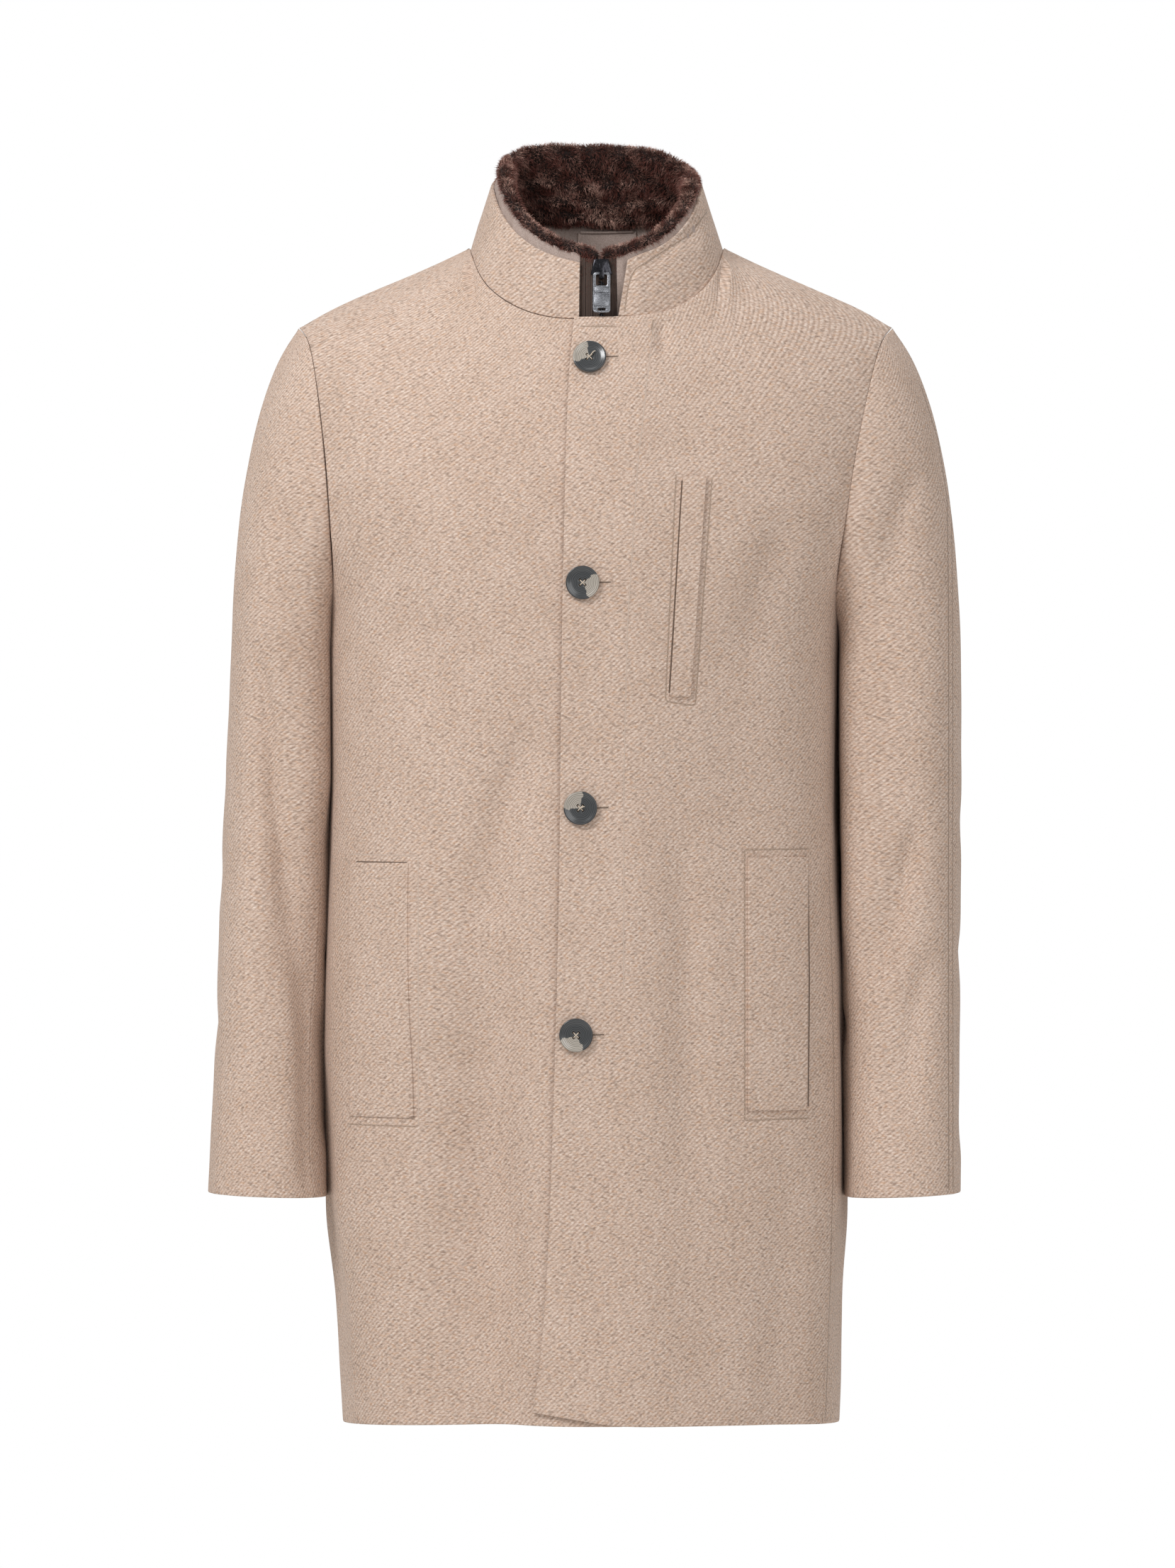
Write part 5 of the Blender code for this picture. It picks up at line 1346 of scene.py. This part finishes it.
# Lines of sewing and edges that are pressed in or faintly show, seen from the front: places across and
# up. The grooves are not modelled: stitched and pressed lines get a dark strip of painted shade, faint
# ones a paler, narrower strip of painted shade
STITCHED = "stitched"
PRESSED = "pressed"
FAINT = "faint"
Sewn = namedtuple("Sewn", "name kind places")
SEWN_LINES = (
    Sewn("chest_frame", STITCHED, ((0.0589, -0.1735), (0.0510, -0.3407), (0.0522, -0.3432),
                                   (0.0720, -0.3460), (0.0735, -0.3440), (0.0858, -0.1761))),
    Sewn("left_pocket_frame", STITCHED, ((0.1602, -0.4532), (0.1104, -0.4537),
                                         (0.1104, -0.6558), (0.1598, -0.6552))),
    Sewn("right_pocket_frame", FAINT, ((-0.1874, -0.4573), (-0.1334, -0.4579),
                                       (-0.1334, -0.6605))),
    Sewn("right_pocket_foot", STITCHED, ((-0.1334, -0.6605), (-0.1874, -0.6600))),
    Sewn("right_pocket_side", FAINT, ((-0.1838, -0.4644), (-0.1842, -0.5600),
                                      (-0.1838, -0.6560))),
    Sewn("neck_dart", PRESSED, ((0.0424, -0.0562), (0.0408, -0.0655))),
    Sewn("below_zip", STITCHED, ((-0.0133, -0.0622), (0.0146, -0.0622))),
    Sewn("collar_edge", STITCHED, ((0.0840, 0.0296), (0.0707, 0.0094), (0.0563, -0.0002),
                                   (0.0372, -0.0135), (0.0292, -0.0185), (0.0258, -0.0240),
                                   (0.0230, -0.0342), (0.0206, -0.0518))),
    Sewn("side_seam_lap", STITCHED, ((0.1752, -0.4650), (0.1778, -0.5600), (0.1790, -0.6500),
                                     (0.1760, -0.7800), (0.1726, -0.8838))),
    Sewn("sleeve_seam", PRESSED, ((0.2460, -0.1011), (0.2590, -0.1430), (0.2655, -0.1869),
                                  (0.2660, -0.4013), (0.2650, -0.7110))),
    Sewn("sleeve_lap", STITCHED, ((0.2494, -0.1011), (0.2624, -0.1430), (0.2689, -0.1869),
                                  (0.2694, -0.4013), (0.2684, -0.7110))),
    Sewn("facing", FAINT, ((0.0426, -0.0570), (0.0300, -0.1710), (0.0226, -0.2880),
                           (0.0200, -0.4000), (0.0198, -0.5600))),
)
FAINT_SHARE = 0.7
# Open pocket edges, with a dark strip of painted shadow beside each for the shade in the pocket's mouth
Mouth = namedtuple("Mouth", "name places")
MOUTHS = (
    Mouth("chest_mouth", ((0.0636, -0.1766), (0.0537, -0.3388))),
    Mouth("left_mouth", ((0.1586, -0.4606), (0.1596, -0.5500), (0.1586, -0.6484))),
    Mouth("right_top", ((-0.1826, -0.4629), (-0.1399, -0.4634))),
)
MOUTH_SHADOW_WIDTH = 0.0012
MOUTH_STEP = 0.004
LINE_LIFT = 0.00012
# A stitch's share of its pitch, and its half width and half depth
STITCH_SHARE = 0.40
STITCH_HALF_WIDTH = 0.00030
STITCH_HALF_DEPTH = 0.00028
# A buttonhole's start and end beside its button's middle, its slit (a strip of painted shadow) and the
# stitches round it
HOLE_START = 0.009
HOLE_END = 0.0215
SLIT_WIDTH = 0.0010
SLIT_STEP = 0.0012
SLIT_RISE = 0.0004
OVERSEW_SHIFT = 0.0011
OVERSEW_STEP = 0.0010
OVERSEW_TURN = math.radians(80)
OVERSEW_SIZE = 0.62
# The cords in the tapes' edges: where they run across, from where to where, and their radius
TAPE_CORDS = (-0.0092, -0.0036, 0.0112)
CORD_TOP = -0.0105
CORD_FOOT = -0.0700
CORD_STEP = 0.004
CORD_RADIUS = 0.0006
CORD_LIFT = 0.0003
# The neck patch's rolled top edge
PATCH_EDGE_HEIGHT = 0.0012
PATCH_EDGE_PLACES = 9
PATCH_EDGE_RADIUS = 0.0011
PATCH_EDGE_LIFT = Vector((0.0, -0.0006, 0.0002))


def walk_line(places, step):
    """Return evenly spaced places along a line of straight stretches."""
    corners = np.array(places)
    lengths = np.concatenate([[0.0], np.cumsum(np.linalg.norm(np.diff(corners, axis=0), axis=1))])
    runs = np.linspace(0.0, lengths[-1], max(int(round(lengths[-1] / step)), 2) + 1)
    return np.stack([np.interp(runs, lengths, corners[:, column]) for column in (0, 1)], axis=1)


def trace(tree, places, step):
    """Lay a line that is seen from the front on the cloth: its places and normals."""
    spots = []
    for across, up in walk_line(places, step):
        spot, normal = tree.ray_cast(Vector((across, -1.0, up)), STRAIGHT_BACK)[:2]
        if spot and normal.y < LEAST_FACING:
            spots.append((spot, normal))
    return spots


def spot_matrices(spots):
    """Return a matrix for each spot but the last: along the line, across it and out."""
    matrices = []
    for (spot, normal), (following, _) in zip(spots, spots[1:]):
        along = (following - spot).normalized()
        across = normal.cross(along).normalized()
        turn = Matrix((along, across, along.cross(across))).transposed()
        matrices.append(Matrix.Translation((spot + following) / 2.0) @ turn.to_4x4())
    return matrices


def add_ribbons(name, lines, width, material):
    """Make one mesh of narrow strips that lie on the cloth along some lines."""
    corners = []
    faces = []
    for spots in lines:
        start = len(corners)
        matrices = spot_matrices(spots)
        for matrix in matrices:
            for side in (-0.5, 0.5):
                corners.append(matrix @ Vector((0.0, side * width, LINE_LIFT)))
        firsts = range(start, start + 2 * len(matrices) - 2, 2)
        faces.extend([first, first + 2, first + 3, first + 1] for first in firsts)
    settle(add_mesh(name, corners, faces, material), COAT, None)


def model_stitch():
    """Model one stitch at the origin: a short thread, thin at both ends."""
    length = bpy.context.scene.coat_sewing.stitch
    stitch = new_shape(bpy.ops.mesh.primitive_uv_sphere_add, segments=6, ring_count=4, radius=1.0,
                       rotation=(0.0, math.radians(90), 0.0))
    bpy.ops.object.transform_apply(location=False, rotation=True, scale=False)
    bpy.ops.object.mode_set(mode="EDIT")
    bpy.ops.transform.resize(value=(STITCH_SHARE * length, STITCH_HALF_WIDTH, STITCH_HALF_DEPTH))
    bpy.ops.object.mode_set(mode="OBJECT")
    return stitch


class COAT_OT_sewing(bpy.types.Operator):
    """Sew the topstitching, the buttonholes and the edges by the zip, with painted shade in the seam
    grooves, the pockets' mouths and the buttonholes' slits
    """

    bl_idname = "coat.sewing"
    bl_label = "Sewing"

    def execute(self, context):
        sizes = context.scene.coat_sewing
        tree = mesh_tree([bpy.data.objects[row.node + "_wool"] for row in WOOL_PANELS])
        # Painted shade: a strip darker than the wool along each stitched or pressed line, for its
        # groove
        pressed = sewing_thread("groove_shade_wool", "#A8917F", "#8C7564")
        # Painted shade: a paler, narrower strip along the faint edges that show through the wool
        faint = sewing_thread("faint_edge_shade", "#C9B5A6", "#B7A293")
        shadow = sewing_thread("pocket_shadow", "#7A6657", "#56463B")
        thread = sewing_thread("wool_thread", "#CDB9A8", "#A28D7B")
        for name, kinds, width, material in (
                ("groove_shade_lines", (STITCHED, PRESSED), sizes.groove, pressed),
                ("faint_shade_lines", (FAINT,), FAINT_SHARE * sizes.groove, faint)):
            lines = [trace(tree, row.places, sizes.stitch / 2.0) for row in SEWN_LINES
                     if row.kind in kinds]
            add_ribbons(name, lines, width, material)
        stitch = model_stitch()
        matrices = []
        for row in SEWN_LINES:
            if row.kind == STITCHED:
                matrices.extend(spot_matrices(trace(tree, row.places, sizes.stitch)))
        settle(repeat_mesh("topstitches", stitch, matrices, thread), COAT, None)
        # Painted shadow: a dark strip beside each open pocket edge, for the shade in its mouth
        mouths = [trace(tree, row.places, MOUTH_STEP) for row in MOUTHS]
        add_ribbons("pocket_mouth_shadows", mouths, MOUTH_SHADOW_WIDTH, shadow)
        self.sew_buttonholes(tree, stitch, shadow, thread)
        bpy.data.objects.remove(stitch)
        self.edge_zip_and_patch()
        return {"FINISHED"}

    def sew_buttonholes(self, tree, stitch, shadow, thread):
        """Lay a strip of painted shadow for the slit beside each button and oversew its two sides."""
        slit_shadows = []
        matrices = []
        turn = Matrix.Rotation(OVERSEW_TURN, 4, "Z") @ Matrix.Scale(OVERSEW_SIZE, 4)
        for row in BUTTONS:
            middle = node_axes(row.node)[0]
            start, end = middle.x + HOLE_START, middle.x + HOLE_END
            slit_shadows.append(trace(tree, ((start, middle.z), (end, middle.z + SLIT_RISE)), SLIT_STEP))
            for height in (middle.z - OVERSEW_SHIFT, middle.z + OVERSEW_SHIFT):
                spots = trace(tree, ((start, height), (end, height)), OVERSEW_STEP)
                matrices.extend(matrix @ turn for matrix in spot_matrices(spots))
        add_ribbons("buttonholes", slit_shadows, SLIT_WIDTH, shadow)
        settle(repeat_mesh("buttonhole_stitches", stitch, matrices, thread), COAT, None)

    def edge_zip_and_patch(self):
        """Roll a cord into the edges of the tapes and into the top of the neck patch."""
        tapes = tape_tree()
        weave = bpy.data.materials["zip_tape_weave"]
        for index, across in enumerate(TAPE_CORDS):
            spots = trace(tapes, ((across, CORD_TOP), (across, CORD_FOOT)), CORD_STEP)
            places = [spot + CORD_LIFT * normal for spot, normal in spots]
            cord = add_cord("tape_cord_%d" % (index + 1), places, CORD_RADIUS, weave)
            settle(cord, COAT, "tape")
        places = read_points(bpy.data.objects["neck_patch_cloth"])
        top = places[places[:, 2] > places[:, 2].max() - PATCH_EDGE_HEIGHT]
        parts = np.array_split(top[np.argsort(top[:, 0])], PATCH_EDGE_PLACES)
        line = [Vector(part.mean(axis=0)) + PATCH_EDGE_LIFT for part in parts]
        taffeta = bpy.data.materials["insert_taffeta"]
        settle(add_cord("patch_edge", line, PATCH_EDGE_RADIUS, taffeta), COAT, "patch")


class COAT_PT_pieces(bpy.types.Panel):
    """Lists the coat's pieces and settings"""

    bl_label = "Winter Coat"
    bl_idname = "COAT_PT_pieces"
    bl_space_type = "VIEW_3D"
    bl_region_type = "UI"
    bl_category = "Coat"

    def draw(self, context):
        for owner in (getattr(context.scene, name) for name, _ in SETTINGS):
            for name in owner.bl_rna.properties.keys():
                if name not in ("rna_type", "name"):
                    self.layout.prop(owner, name)
        for operator in OPERATORS:
            self.layout.operator(operator.bl_idname)


SETTINGS = (("coat_wool", WoolSettings), ("coat_fur", FurSettings),
            ("coat_sewing", SewingSettings))
OPERATORS = (COAT_OT_stage, COAT_OT_wool, COAT_OT_insert, COAT_OT_fur, COAT_OT_trims,
             COAT_OT_buttons, COAT_OT_zip, COAT_OT_sewing)


def register():
    """Register the settings, operators and panel."""
    for name, group in SETTINGS:
        bpy.utils.register_class(group)
        setattr(bpy.types.Scene, name, bpy.props.PointerProperty(type=group))
    for operator in OPERATORS:
        bpy.utils.register_class(operator)
    bpy.utils.register_class(COAT_PT_pieces)


def unregister():
    """Take the settings, operators and panel away again."""
    bpy.utils.unregister_class(COAT_PT_pieces)
    for operator in reversed(OPERATORS):
        bpy.utils.unregister_class(operator)
    for name, group in reversed(SETTINGS):
        delattr(bpy.types.Scene, name)
        bpy.utils.unregister_class(group)


def main():
    """Make every piece in order."""
    register()
    bpy.ops.coat.stage()
    bpy.ops.coat.wool()
    bpy.ops.coat.insert()
    bpy.ops.coat.fur()
    bpy.ops.coat.trims()
    bpy.ops.coat.buttons()
    bpy.ops.coat.zip()
    bpy.ops.coat.sewing()


if __name__ == "__main__":
    main()
